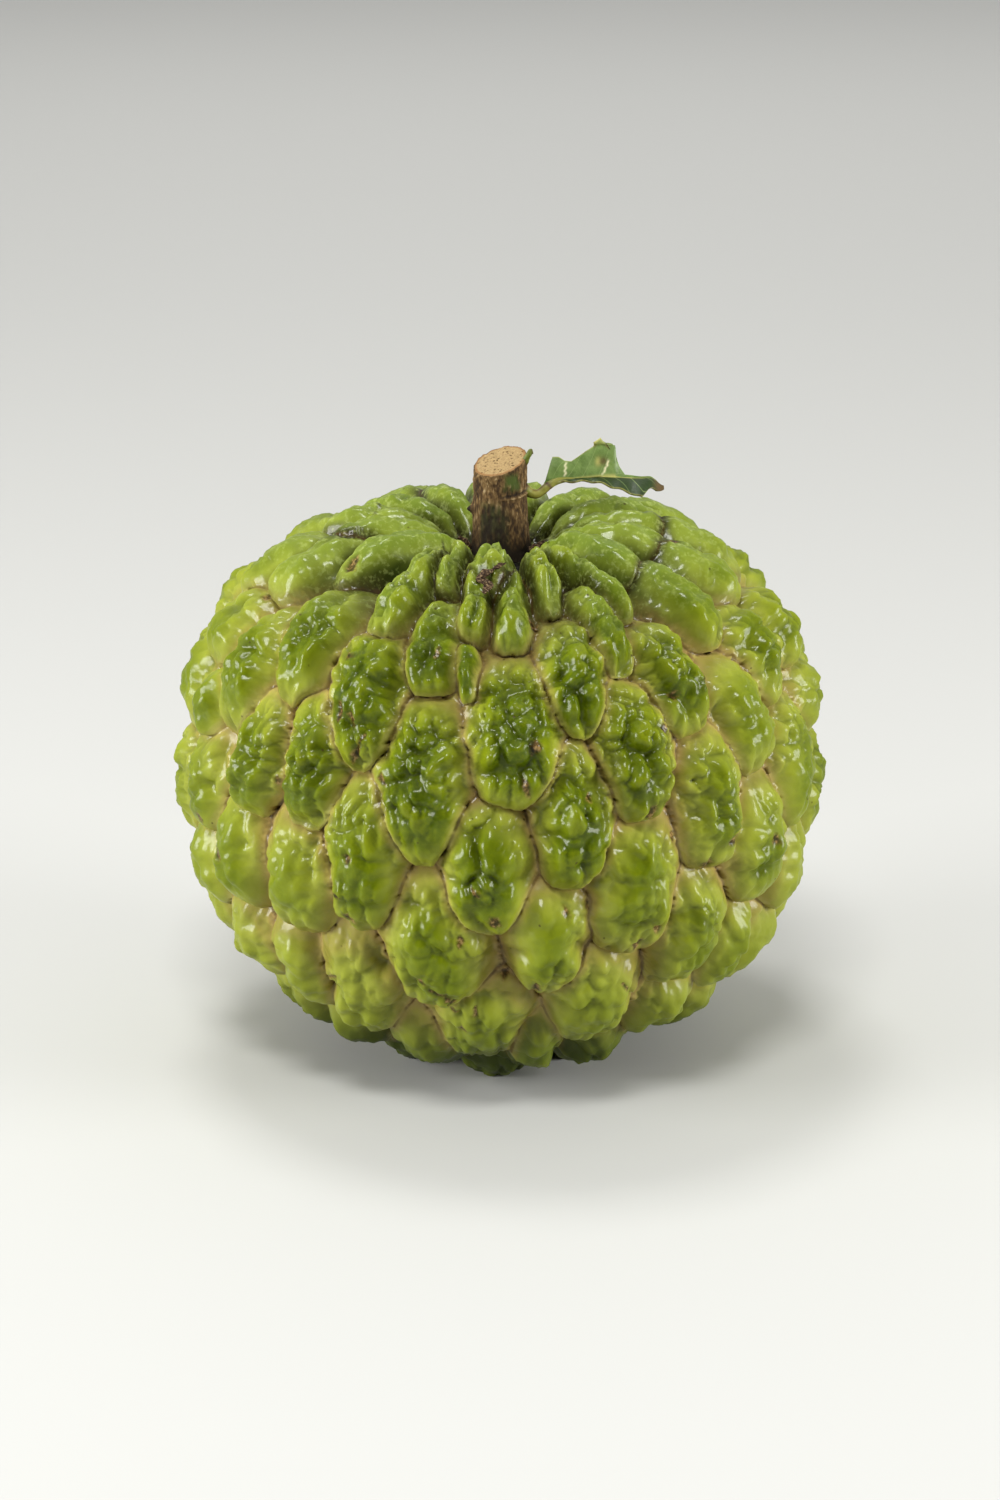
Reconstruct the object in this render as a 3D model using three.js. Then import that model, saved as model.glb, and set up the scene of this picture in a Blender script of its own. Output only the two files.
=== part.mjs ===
// A whole custard apple, as picked: one knobbly fruit grown of many joined carpels, with a short
// woody stalk, a scrap of leaf on its own little stalk, and the dried remains of the flower.
// Millimetres, +Z up. The origin is the middle of the flat spot that the fruit rests on, and the
// side that faces -Y is the front. Longitudes are in degrees from the front, growing towards +X,
// and latitudes are in degrees up from the widest ring.
import * as THREE from 'three';

// Body of the fruit, to the crowns of its carpels
const BODY_RADIUS = 43.8;
const BODY_RISE = 37.0;
const BODY_DROP = 40.6;
const SHOULDER_SQUARENESS = 2.6;
const BELLY_SQUARENESS = 2.05;
const FLAT_SPOT_CUT = 1.4;
const CAVITY_DEPTH = 6.6;
const CAVITY_RADIUS = 11.0;
const STALK_SEAT_RADIUS = 5.0;
const SEAT_FADE = 2.5;

// Carpels
const GROOVE_DEPTH = 3.6;
const CROWN_RISE = 4.4;
const SPREAD = 1.12;
const OUTLINE_SQUARENESS = 2.5;
const SIDE_STEEPNESS = 2.3;
const TIP_STEEPNESS = 4.2;
const SKIN_DETAIL = 18;

// Stalk
const STALK_RADIUS = 3.6;
const STALK_FLARE = 0.45;
const STALK_TOP = 82.4;
const STALK_SIDES = 20;
const CUT_FALL_FRONT = 17;
const CUT_FALL_LEFT = 14;
const STALK_SEAT_GAP = 1.1;

const BUD_RADIUS = 0.55;
const BUD_STRETCH = 1.5;
const BUD_PLACE = [4.2, -0.9, 82.5];

// Leaf and its own stalk. The blade is folded along its midrib: one half stands up, and the other
// hangs to the front. Widths are of each half, at equal steps from the leaf's foot to its tip.
const LEAF_LENGTH = 13.6;
const LEAF_THICKNESS = 0.5;
const LEAF_STEPS = 14;
const HALF_STEPS = 4;
const LEAF_FOOT = [8.2, 1.3, 79.2];
const MIDRIB_BACK = 3.4;
const MIDRIB_SAG = 0.9;
const STANDING_WIDTHS = [1.2, 3.4, 2.6, 2.4, 3.4, 4.9, 4.6, 2.2, 1.0, 0.9, 0.8];
const HANGING_WIDTHS = [0.5, 0.9, 1.4, 1.9, 2.4, 2.8, 3.2, 3.5, 3.3, 2.4, 0.9];
const STANDING_ANGLE = 78;
const HANGING_ANGLE = -24;
const LEAF_STALK_RADIUS = 0.62;
const LEAF_STALK_PLACES = [
  [4.7, 0.2, 78.6], [5.3, 0.4, 77.5], [6.0, 0.7, 77.5], [6.8, 1.0, 78.4], [7.6, 1.2, 79.1],
];

// Dried remains of the flower
const SEPAL_FOOT = 71.8;
const SEPAL_FOOT_RADIUS = 5.1;
const SEPAL_LEAN = 0.7;
const SEPAL_TAPER = 0.6;
const SEPAL_THICKNESS = 0.5;
const SEPAL_STEPS = 3;
const SEPAL_LEFT = -78;
const SEPAL_RIGHT = 72;
const STYLE_RADIUS = 0.55;
const STYLE_PLACES = [[-1.5, 58.5, 1.5], [-4, 57, 1.5], [-5, 55.5, 1.5], [-3, 53.5, 1.4]];

const DEGREE = Math.PI / 180;

// Each carpel is [longitude, half width in mm, latitudes of its top, widest place and tip,
// lean of the tip towards +longitude in degrees].
const STALK_RING = [
  [-2.5, 4.4, 73, 64, 55, 0],
  [-16, 2.6, 71, 63, 56, 0],
  [14, 2.9, 72, 60, 52, 0],
  [29, 3.2, 74, 60, 48, 14],
  [46, 3.7, 83, 69, 56, 6],
  [68, 3.8, 83, 70, 57, 4],
  [91, 4.0, 83, 71, 58, 0],
  [115, 4.0, 83, 70, 57, 0],
  [140, 4.0, 83, 71, 58, 0],
  [166, 4.0, 83, 70, 59, 0],
  [-50, 3.8, 84, 69, 54, -6],
  [-76, 4.0, 83, 70, 56, 0],
  [-102, 4.0, 83, 70, 57, 0],
  [-128, 4.0, 83, 71, 58, 0],
  [-152, 4.0, 83, 70, 59, 0],
  [-174, 3.8, 83, 71, 58, 0],
];
const SHOULDER = [
  [-6.5, 2.6, 64, 52, 46, 0],
  [3, 3.3, 66, 52, 44.5, 0],
  [-14, 4.2, 58, 45, 36, 3],
  [16, 5.0, 53, 38, 27, 0],
  [24.5, 3.4, 60, 48, 38, 8],
  [-27.5, 4.2, 74, 55, 44.5, -3],
  [-44.5, 6.0, 57, 45, 31, -2],
  [52, 5.0, 63, 51, 39, 4],
  [-69, 6.0, 67, 56, 45, 0],
  [72, 6.2, 65, 54, 43.5, 0],
  [-88, 6.8, 62, 51, 41, 0],
  [92, 6.4, 67, 57, 45, 0],
  [-76, 6.6, 48, 37.5, 29, 0],
  [65, 6.2, 47, 37, 24, 2],
  [82, 6.8, 47, 37, 27, 0],
  [-27.5, 6.4, 48, 37, 21, 3],
  [36.5, 5.6, 49, 37, 26, 5],
  [-59.5, 6.0, 48, 34, 20.5, 3],
  [-6.5, 1.9, 47, 41, 34, 0],
];
const GIRDLE = [
  [3, 7.4, 45, 27, 14, 0],
  [26, 6.0, 38.5, 23, 9.5, 0],
  [52.5, 6.0, 38.5, 26, 12.5, 3],
  [84, 7.0, 32, 22, 11, 0],
  [-14.5, 7.1, 36, 18, 3, 2],
  [-36.5, 5.9, 34, 18, 5.5, 4],
  [-50.5, 6.0, 31, 14, 4, -5],
  [-69.5, 4.6, 31, 23, 15.5, 0],
  [-85, 7.0, 36, 25, 12, 0],
  [-2, 6.8, 14.5, 3, -12, 0],
  [13.5, 6.0, 27, 9, -3, 0],
  [41.5, 6.5, 26.5, 10, -3, 0],
  [69.5, 7.2, 27, 11, -3, 0],
  [-25, 6.4, 20, 1, -13, 0],
  [-69, 7.0, 21, 7, -5, 0],
  [-86, 6.6, 16, 2, -12, 0],
  [87, 7.2, 14, 0, -13, 0],
];
const BELLY = [
  [25, 7.2, 9.5, -4, -18.5, 0],
  [55, 7.0, 12.5, -3, -15.5, 2],
  [-39.5, 6.6, 8.5, -6, -18, 0],
  [-56, 6.2, 9, -5, -16, 0],
  [9, 6.4, -2, -16, -28, 0],
  [39, 6.8, -2.5, -16, -30, 0],
  [71, 6.9, 0, -12, -23, 0],
  [-12.5, 7.8, 1.5, -17, -32, 0],
  [-71, 6.8, -1, -11, -22, 0],
  [-31, 7.0, -13, -32, -46, -8],
  [-46, 5.6, -16.5, -28, -41, -6],
  [-60, 6.2, -14, -25, -37, 0],
  [53.5, 5.6, -15, -25, -37, 0],
  [68, 6.6, -17, -28, -40, 0],
  [85, 7.2, -9, -21, -34, 0],
  [-85, 7.2, -8, -22, -35, 0],
  [-4.5, 7.6, -25, -37, -54, -2],
  [20, 7.6, -18, -32, -46, 0],
  [42, 6.4, -29, -39, -49, 0],
  [63, 6.6, -35, -45, -56, 0],
  [-47, 5.6, -40, -49, -59, 0],
  [-22, 6.3, -36, -50, -62, 0],
  [9.5, 4.8, -35, -49, -60, 0],
  [31, 6.2, -44, -53, -63, 0],
  [-68, 6.8, -34, -46, -58, 0],
];
const FOOT_CARPEL = [0, 7.5, -74, -90, -90, 0];

// The other carpels, on the side away from the front and underneath, stand on a spiral, one
// golden angle apart, and are then spaced out among the listed ones
const SPIRAL_COUNT = 150;
const GOLDEN_ANGLE = 137.508;
const SPIRAL_CLEARANCE = 9.5;
const SPIRAL_HALF_WIDTH = 7.1;
const SPIRAL_REACH = 12.2;
const SPACING = 14;
const SPACING_ROUNDS = 30;
const SPACING_STEP = 1.5;
const WIDTH_WANDER = 0.5;
const REACH_WANDER = 1.5;
const LEAN_WANDER = 8;

// A repeatable number from -1 to 1 for each whole number
function scatter(index) {
  const wave = Math.sin(index * 12.9898) * 43758.5453;
  return 2 * (wave - Math.floor(wave)) - 1;
}

// Radius and height of the body's outline at a latitude
function outline(latitude) {
  const upper = latitude >= 0;
  const squareness = upper ? SHOULDER_SQUARENESS : BELLY_SQUARENESS;
  const c = Math.cos(latitude * DEGREE);
  const s = Math.sin(latitude * DEGREE);
  const swell = (Math.abs(c) ** squareness + Math.abs(s) ** squareness) ** (-1 / squareness);
  const radius = BODY_RADIUS * c * swell;
  const dip = upper ? CAVITY_DEPTH * Math.exp(-((radius / CAVITY_RADIUS) ** 2)) : 0;
  const reach = upper ? BODY_RISE : BODY_DROP;
  return [radius, BODY_DROP - FLAT_SPOT_CUT + reach * s * swell - dip];
}

// Length of the outline from the foot up to each whole latitude
const LENGTH_TO = [0];
for (let latitude = -89; latitude <= 90; latitude += 1) {
  const [r0, z0] = outline(latitude - 1);
  const [r1, z1] = outline(latitude);
  LENGTH_TO.push(LENGTH_TO[LENGTH_TO.length - 1] + Math.hypot(r1 - r0, z1 - z0));
}

function lengthTo(latitude) {
  const place = Math.min(Math.max(latitude + 90, 0), 179.999);
  const whole = Math.floor(place);
  return THREE.MathUtils.lerp(LENGTH_TO[whole], LENGTH_TO[whole + 1], place - whole);
}

// A point on the body's outline, turned to a longitude
function bodyPoint(lon, latitude) {
  const [r, z] = outline(latitude);
  return new THREE.Vector3(r * Math.sin(lon * DEGREE), -r * Math.cos(lon * DEGREE), z);
}

// One round of spacing: each place moves away from whatever stands closer to it than SPACING
function spacedOut(places, listed) {
  const points = places.map(([lon, latitude]) => bodyPoint(lon, latitude));
  return places.map(([lon, latitude], own) => {
    const push = new THREE.Vector3();
    for (const other of [...listed, ...points]) {
      const away = points[own].clone().sub(other);
      const distance = away.length();
      if (distance === 0 || distance > SPACING) continue;
      push.addScaledVector(away, (SPACING_STEP * (1 - distance / SPACING)) / distance);
    }
    const [sinLon, cosLon] = [Math.sin(lon * DEGREE), Math.cos(lon * DEGREE)];
    const [sinLat, cosLat] = [Math.sin(latitude * DEGREE), Math.cos(latitude * DEGREE)];
    const east = push.x * cosLon + push.y * sinLon;
    const north = sinLat * (push.y * cosLon - push.x * sinLon) + cosLat * push.z;
    return [
      lon + east / outline(latitude)[0] / DEGREE,
      latitude + north / BODY_RADIUS / DEGREE,
    ];
  });
}

// Carpels on the spiral, wherever it passes clear of the listed ones and of the stalk
function spiralCarpels(listedRows) {
  const listed = listedRows.map(([lon, , , middle]) => bodyPoint(lon, middle));
  listed.push(bodyPoint(0, 90));
  let places = [];
  for (let i = 0; i < SPIRAL_COUNT; i += 1) {
    const latitude = Math.asin(1 - (2 * i + 1) / SPIRAL_COUNT) / DEGREE;
    const lon = (i * GOLDEN_ANGLE) % 360;
    const point = bodyPoint(lon, latitude);
    if (listed.every((other) => other.distanceTo(point) > SPIRAL_CLEARANCE)) {
      places.push([lon, latitude]);
    }
  }
  for (let round = 0; round < SPACING_ROUNDS; round += 1) places = spacedOut(places, listed);
  return places.map(([lon, latitude], i) => {
    const reach = SPIRAL_REACH + REACH_WANDER * scatter(3 * i + 1);
    const half = SPIRAL_HALF_WIDTH + WIDTH_WANDER * scatter(3 * i + 2);
    return [lon, half, latitude + reach, latitude, latitude - reach, LEAN_WANDER * scatter(3 * i + 3)];
  });
}

const listedRows = [...STALK_RING, ...SHOULDER, ...GIRDLE, ...BELLY, FOOT_CARPEL];
const carpels = [...listedRows, ...spiralCarpels(listedRows)].map(
  ([lon, half, top, middle, tip, lean]) => ({
    lon,
    along: lengthTo(middle),
    half: half * SPREAD,
    up: Math.max(lengthTo(top) - lengthTo(middle), half) * SPREAD,
    down: Math.max(lengthTo(middle) - lengthTo(tip), half * 0.8) * SPREAD,
    lean: lean * DEGREE,
  }),
);

// Height of one carpel above the groove floor, at a place on the body
function carpelHeight(carpel, lon, along, ringRadius) {
  const turn = ((lon - carpel.lon + 900) % 360) - 180;
  const across = turn * DEGREE * ringRadius;
  const below = carpel.along - along;
  const u = across * Math.cos(carpel.lean) - below * Math.sin(carpel.lean);
  const v = across * Math.sin(carpel.lean) + below * Math.cos(carpel.lean);
  const side = Math.abs(u) / carpel.half;
  const end = v < 0 ? -v / carpel.up : v / carpel.down;
  if (side > 1 || end > 1) return 0;
  const reach = (side ** OUTLINE_SQUARENESS + end ** OUTLINE_SQUARENESS) ** (1 / OUTLINE_SQUARENESS);
  const tipShare = v > 0 ? THREE.MathUtils.smoothstep(end, 0, 1) : 0;
  const steepness = THREE.MathUtils.lerp(SIDE_STEEPNESS, TIP_STEEPNESS, tipShare);
  return CROWN_RISE * Math.max(0, 1 - reach ** steepness);
}

// The skin's distance in or out from the body's outline
function relief(lon, latitude, ringRadius) {
  const along = lengthTo(latitude);
  let height = 0;
  for (const carpel of carpels) {
    height = Math.max(height, carpelHeight(carpel, lon, along, ringRadius));
  }
  const seat = THREE.MathUtils.smoothstep(ringRadius, STALK_SEAT_RADIUS, STALK_SEAT_RADIUS + SEAT_FADE);
  return (height - GROOVE_DEPTH) * (latitude > 0 ? seat : 1);
}

function skinPoint(lon, latitude, lift = 0) {
  const [r, z] = outline(latitude);
  const [r0, z0] = outline(Math.max(latitude - 0.5, -90));
  const [r1, z1] = outline(Math.min(latitude + 0.5, 90));
  const slope = Math.hypot(r1 - r0, z1 - z0);
  const outward = (z1 - z0) / slope;
  const upward = (r0 - r1) / slope;
  const height = relief(lon, latitude, r) + lift;
  const reach = r + height * outward;
  return new THREE.Vector3(
    reach * Math.sin(lon * DEGREE),
    -reach * Math.cos(lon * DEGREE),
    z + height * upward,
  );
}

function solid(name, geometry, color, roughness) {
  const material = new THREE.MeshStandardMaterial({ color, roughness, metalness: 0 });
  const mesh = new THREE.Mesh(geometry, material);
  mesh.name = name;
  return mesh;
}

// Fruit: a sphere's vertices moved out to the skin, and flattened where it rests
function fruit() {
  const geometry = new THREE.IcosahedronGeometry(1, SKIN_DETAIL);
  const place = geometry.getAttribute('position');
  for (let i = 0; i < place.count; i += 1) {
    const latitude = Math.asin(THREE.MathUtils.clamp(place.getZ(i), -1, 1)) / DEGREE;
    const lon = Math.atan2(place.getX(i), -place.getY(i)) / DEGREE;
    const point = skinPoint(lon, latitude);
    place.setXYZ(i, point.x, point.y, Math.max(point.z, 0));
  }
  return solid('fruit', geometry, 0x7d9c3a, 0.45);
}

// Stalk: a woody cylinder that widens at its foot, cut off at a slant
function stalk() {
  const foot = outline(90)[1] + STALK_SEAT_GAP;
  const height = STALK_TOP - foot;
  const geometry = new THREE.CylinderGeometry(STALK_RADIUS, STALK_RADIUS, height, STALK_SIDES, 6);
  geometry.rotateX(Math.PI / 2);
  const place = geometry.getAttribute('position');
  for (let i = 0; i < place.count; i += 1) {
    const share = place.getZ(i) / height + 0.5;
    const widen = 1 + (STALK_FLARE / STALK_RADIUS) * (1 - share) ** 3;
    const x = place.getX(i) * widen;
    const y = place.getY(i) * widen;
    const slant = x * Math.tan(CUT_FALL_LEFT * DEGREE) + y * Math.tan(CUT_FALL_FRONT * DEGREE);
    place.setXYZ(i, x, y, foot + height * share + slant * share ** 4);
  }
  return solid('stalk', geometry, 0x6e5a3f, 0.85);
}

// A bent rod of round section, through points given by hand
function rod(name, points, radius, sides, steps, color) {
  const path = new THREE.CatmullRomCurve3(points.map((p) => new THREE.Vector3(...p)));
  const section = new THREE.Shape();
  section.absarc(0, 0, radius, 0, 2 * Math.PI);
  const geometry = new THREE.ExtrudeGeometry(section, {
    steps, extrudePath: path, bevelEnabled: false, curveSegments: sides,
  });
  return solid(name, geometry, color, 0.8);
}

// Closes a grid of points into a thin sheet: corner(i, j, side) gives the points of its two faces
function sheet(name, columns, lines, corner, color, roughness) {
  const triangles = [];
  const quad = (a, b, c, d) => triangles.push(...a, ...b, ...c, ...a, ...c, ...d);
  for (let i = 0; i < columns; i += 1) {
    for (let j = 0; j < lines; j += 1) {
      const around = [[i, j], [i + 1, j], [i + 1, j + 1], [i, j + 1]];
      quad(...around.map(([a, b]) => corner(a, b, 1)));
      quad(...around.reverse().map(([a, b]) => corner(a, b, -1)));
    }
  }
  const wall = (a, b) => quad(corner(...a, 1), corner(...a, -1), corner(...b, -1), corner(...b, 1));
  for (let i = 0; i < columns; i += 1) {
    wall([i, 0], [i + 1, 0]);
    wall([i + 1, lines], [i, lines]);
  }
  for (let j = 0; j < lines; j += 1) {
    wall([columns, j], [columns, j + 1]);
    wall([0, j + 1], [0, j]);
  }
  const geometry = new THREE.BufferGeometry();
  geometry.setAttribute('position', new THREE.Float32BufferAttribute(triangles, 3));
  return solid(name, geometry, color, roughness);
}

// A value part of the way along a list of widths
function widthAt(values, share) {
  const place = share * (values.length - 1);
  const whole = Math.min(Math.floor(place), values.length - 2);
  return THREE.MathUtils.lerp(values[whole], values[whole + 1], place - whole);
}

// A point on the leaf blade: its section across the midrib is a V whose two sides have their own
// angles, and the sheet's thickness is measured square to each side
function leafPoint(i, j, side) {
  const share = i / LEAF_STEPS;
  const across = (j - HALF_STEPS) / HALF_STEPS;
  const standing = across > 0;
  const width = widthAt(standing ? STANDING_WIDTHS : HANGING_WIDTHS, share) * Math.abs(across);
  const rise = standing ? STANDING_ANGLE : HANGING_ANGLE;
  const direction = (standing ? rise : 180 - rise) * DEGREE;
  const square = (across === 0 ? 90 + (STANDING_ANGLE - HANGING_ANGLE) / 2 : 90 + rise) * DEGREE;
  const facing = standing || across === 0 ? square : Math.PI - square;
  const offset = (side * LEAF_THICKNESS) / 2;
  return [
    LEAF_FOOT[0] + LEAF_LENGTH * share,
    LEAF_FOOT[1] + MIDRIB_BACK * share + width * Math.cos(direction) + offset * Math.cos(facing),
    LEAF_FOOT[2] - MIDRIB_SAG * share ** 2 + width * Math.sin(direction) + offset * Math.sin(facing),
  ];
}

// Small green bud on the right shoulder of the stalk, just under the cut
function stalkBud() {
  const geometry = new THREE.IcosahedronGeometry(BUD_RADIUS, 2);
  geometry.scale(1, 1, BUD_STRETCH);
  geometry.translate(...BUD_PLACE);
  return solid('stalk_bud', geometry, 0x8ea24a, 0.6);
}

// Dried sepal: a small curled flake that stands beside the foot of the stalk
function driedSepal(name, lon, width, height) {
  const corner = (i, j, side) => {
    const across = (i / SEPAL_STEPS - 0.5) * width;
    const share = j / SEPAL_STEPS;
    const reach = SEPAL_FOOT_RADIUS + SEPAL_LEAN * share ** 2 + (side * SEPAL_THICKNESS) / 2;
    const taper = 1 - SEPAL_TAPER * share;
    const angle = lon * DEGREE;
    return [
      reach * Math.sin(angle) + across * taper * Math.cos(angle),
      -reach * Math.cos(angle) + across * taper * Math.sin(angle),
      SEPAL_FOOT + height * share,
    ];
  };
  return sheet(name, SEPAL_STEPS, SEPAL_STEPS, corner, 0x4a3826, 0.95);
}

// Dried style: the twisted brown remains of the flower, lying on the front carpels
function driedStyle() {
  const points = STYLE_PLACES.map(([lon, latitude, lift]) => skinPoint(lon, latitude, lift).toArray());
  return rod('dried_style', points, STYLE_RADIUS, 8, 10, 0x7a6040);
}

// The origin moves to the middle of the whole object's box, on the surface that it rests on
function centred(meshes) {
  const group = new THREE.Group();
  group.add(...meshes);
  const middle = new THREE.Box3().setFromObject(group).getCenter(new THREE.Vector3());
  group.position.set(-middle.x, -middle.y, 0);
  return group;
}

export default centred([
  fruit(),
  stalk(),
  stalkBud(),
  rod('leaf_stalk', LEAF_STALK_PLACES, LEAF_STALK_RADIUS, 8, 14, 0x9aa84a),
  sheet('leaf_blade', LEAF_STEPS, 2 * HALF_STEPS, leafPoint, 0x5d7d35, 0.55),
  driedSepal('dried_sepal_left', SEPAL_LEFT, 2.0, 2.2),
  driedSepal('dried_sepal_right', SEPAL_RIGHT, 2.4, 1.6),
  driedStyle(),
]);
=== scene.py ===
"""A custard apple on a pale floor: the looks of the fruit, its stalk, its scrap of leaf and the dried
remains of its flower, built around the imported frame. Metres, +Z up, the front of the fruit faces -Y.
The fruit is worked out in mm and degrees, and MM turns mm to metres. The studio is in metres."""
import itertools
import math
import bmesh
import bpy
import numpy as np
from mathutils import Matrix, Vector


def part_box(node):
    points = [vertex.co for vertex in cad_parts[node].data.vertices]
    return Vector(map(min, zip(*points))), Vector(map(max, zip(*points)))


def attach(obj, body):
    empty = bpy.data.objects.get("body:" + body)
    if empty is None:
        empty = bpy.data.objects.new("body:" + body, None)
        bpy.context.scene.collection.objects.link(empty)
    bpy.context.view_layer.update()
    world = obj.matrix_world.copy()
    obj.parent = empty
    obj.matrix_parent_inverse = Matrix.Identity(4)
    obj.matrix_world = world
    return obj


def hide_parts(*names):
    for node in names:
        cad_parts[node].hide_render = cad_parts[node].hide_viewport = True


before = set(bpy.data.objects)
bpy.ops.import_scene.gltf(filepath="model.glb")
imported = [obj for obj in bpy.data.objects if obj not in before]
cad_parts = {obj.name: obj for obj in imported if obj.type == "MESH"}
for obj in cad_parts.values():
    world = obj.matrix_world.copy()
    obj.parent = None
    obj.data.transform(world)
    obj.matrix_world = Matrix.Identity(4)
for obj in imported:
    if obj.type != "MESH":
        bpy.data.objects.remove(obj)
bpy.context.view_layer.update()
MM = 0.001

# ------------------------------------------------------------
# Fruit. A custard apple is one fruit grown of some hundred and fifty carpels that joined as they
# swelled. Each ends in a knob of waxy green skin that overlaps the knobs below it like a roof tile,
# and pale skin shows in the seams between them. It grew as one piece, so it is one mesh.
# ------------------------------------------------------------
# The body: its radius, how far it rises and drops from its widest ring, how square its outline is
# above and below that ring, the flat spot that it rests on, the hollow at the stalk, and the seat
# where the skin lies level round the stalk.
BODY_RADIUS = 43.8
BODY_RISE = 37.0
BODY_DROP = 40.6
SHOULDER_SQUARENESS = 2.6
BELLY_SQUARENESS = 2.05
FLAT_SPOT_CUT = 1.4
CAVITY_DEPTH = 6.6
CAVITY_RADIUS = 11.0
SEAT_RADIUS = 4.6
SEAT_FADE = 3.2
stalk_low, stalk_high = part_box("stalk")
AXIS = np.array([(stalk_low[0] + stalk_high[0]) / 2, (stalk_low[1] + stalk_high[1]) / 2, 0])

# Each carpel is [longitude from the front in degrees, half width in mm, latitudes of its top,
# widest place and tip, lean of the tip in degrees].
STALK_RING = [
    [-2.5, 4.4, 73, 64, 55, 0],
    [-16, 2.6, 71, 63, 56, 0],
    [14, 2.9, 72, 60, 52, 0],
    [29, 3.2, 74, 60, 48, 14],
    [46, 3.7, 83, 69, 56, 6],
    [68, 3.8, 83, 70, 57, 4],
    [91, 4.0, 83, 71, 58, 0],
    [115, 4.0, 83, 70, 57, 0],
    [140, 4.0, 83, 71, 58, 0],
    [166, 4.0, 83, 70, 59, 0],
    [-50, 3.8, 84, 69, 54, -6],
    [-76, 4.0, 83, 70, 56, 0],
    [-102, 4.0, 83, 70, 57, 0],
    [-128, 4.0, 83, 71, 58, 0],
    [-152, 4.0, 83, 70, 59, 0],
    [-174, 3.8, 83, 71, 58, 0],
]
SHOULDER = [
    [-6.5, 2.6, 64, 52, 46, 0],
    [3, 3.3, 66, 52, 44.5, 0],
    [-14, 4.2, 58, 45, 36, 3],
    [16, 5.0, 53, 38, 27, 0],
    [24.5, 3.4, 60, 48, 38, 8],
    [-27.5, 4.2, 74, 55, 44.5, -3],
    [-44.5, 6.0, 57, 45, 31, -2],
    [52, 5.0, 63, 51, 39, 4],
    [-69, 6.0, 67, 56, 45, 0],
    [72, 6.2, 65, 54, 43.5, 0],
    [-88, 6.8, 62, 51, 41, 0],
    [92, 6.4, 67, 57, 45, 0],
    [-76, 6.6, 48, 37.5, 29, 0],
    [65, 6.2, 47, 37, 24, 2],
    [82, 6.8, 47, 37, 27, 0],
    [-27.5, 6.4, 48, 37, 21, 3],
    [36.5, 5.6, 49, 37, 26, 5],
    [-59.5, 6.0, 48, 34, 20.5, 3],
    [-6.5, 1.9, 47, 41, 34, 0],
]
GIRDLE = [
    [3, 7.4, 45, 27, 14, 0],
    [26, 6.0, 38.5, 23, 9.5, 0],
    [52.5, 6.0, 38.5, 26, 12.5, 3],
    [84, 7.0, 32, 22, 11, 0],
    [-14.5, 7.1, 36, 18, 3, 2],
    [-36.5, 5.9, 34, 18, 5.5, 4],
    [-50.5, 6.0, 31, 14, 4, -5],
    [-69.5, 4.6, 31, 23, 15.5, 0],
    [-85, 7.0, 36, 25, 12, 0],
    [-2, 6.8, 14.5, 3, -12, 0],
    [13.5, 6.0, 27, 9, -3, 0],
    [41.5, 6.5, 26.5, 10, -3, 0],
    [69.5, 7.2, 27, 11, -3, 0],
    [-25, 6.4, 20, 1, -13, 0],
    [-69, 7.0, 21, 7, -5, 0],
    [-86, 6.6, 16, 2, -12, 0],
    [87, 7.2, 14, 0, -13, 0],
]
BELLY = [
    [25, 7.2, 9.5, -4, -18.5, 0],
    [55, 7.0, 12.5, -3, -15.5, 2],
    [-39.5, 6.6, 8.5, -6, -18, 0],
    [-56, 6.2, 9, -5, -16, 0],
    [9, 6.4, -2, -16, -28, 0],
    [39, 6.8, -2.5, -16, -30, 0],
    [71, 6.9, 0, -12, -23, 0],
    [-12.5, 7.8, 1.5, -17, -32, 0],
    [-71, 6.8, -1, -11, -22, 0],
    [-31, 7.0, -13, -32, -46, -8],
    [-46, 5.6, -16.5, -28, -41, -6],
    [-60, 6.2, -14, -25, -37, 0],
    [53.5, 5.6, -15, -25, -37, 0],
    [68, 6.6, -17, -28, -40, 0],
    [85, 7.2, -9, -21, -34, 0],
    [-85, 7.2, -8, -22, -35, 0],
    [-4.5, 7.6, -25, -37, -54, -2],
    [20, 7.6, -18, -32, -46, 0],
    [42, 6.4, -29, -39, -49, 0],
    [63, 6.6, -35, -45, -56, 0],
    [-47, 5.6, -40, -49, -59, 0],
    [-22, 6.3, -36, -50, -62, 0],
    [9.5, 4.8, -35, -49, -60, 0],
    [31, 6.2, -44, -53, -63, 0],
    [-68, 6.8, -34, -46, -58, 0],
]
FOOT_CARPEL = [0, 7.5, -74, -90, -90, 0]

# The other carpels stand on a spiral, one golden angle apart, and are spaced out among these.
SPIRAL_COUNT = 150
GOLDEN_ANGLE = 137.508
SPIRAL_CLEARANCE = 9.5
SPIRAL_HALF_WIDTH = 7.1
SPIRAL_REACH = 12.2
SPACING = 14
SPACING_ROUNDS = 30
SPACING_STEP = 1.5
WIDTH_WANDER, REACH_WANDER, LEAN_WANDER = 0.5, 1.5, 8


def scatter(index):
    """A repeatable number from -1 to 1 for each whole number."""
    wave = np.sin(np.asarray(index) * 12.9898) * 43758.5453
    return 2 * (wave - np.floor(wave)) - 1


def ease(value, low, high):
    """0 below low, 1 above high, and a smooth step between them."""
    share = np.clip((value - low) / (high - low), 0, 1)
    return share * share * (3 - 2 * share)


def grain(points, size, seed=0):
    """Smooth noise from -1 to 1 whose lumps are about `size` across."""
    cell = points / size + 31.7 * seed
    corner = np.floor(cell)
    share = ease(cell - corner, 0, 1)
    total = np.zeros(len(points))
    for step in itertools.product((0, 1), repeat=3):
        weight = np.prod(np.where(step, share, 1 - share), axis=1)
        total += weight * scatter((corner + step) @ (1.0, 57.0, 113.0))
    return total


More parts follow.
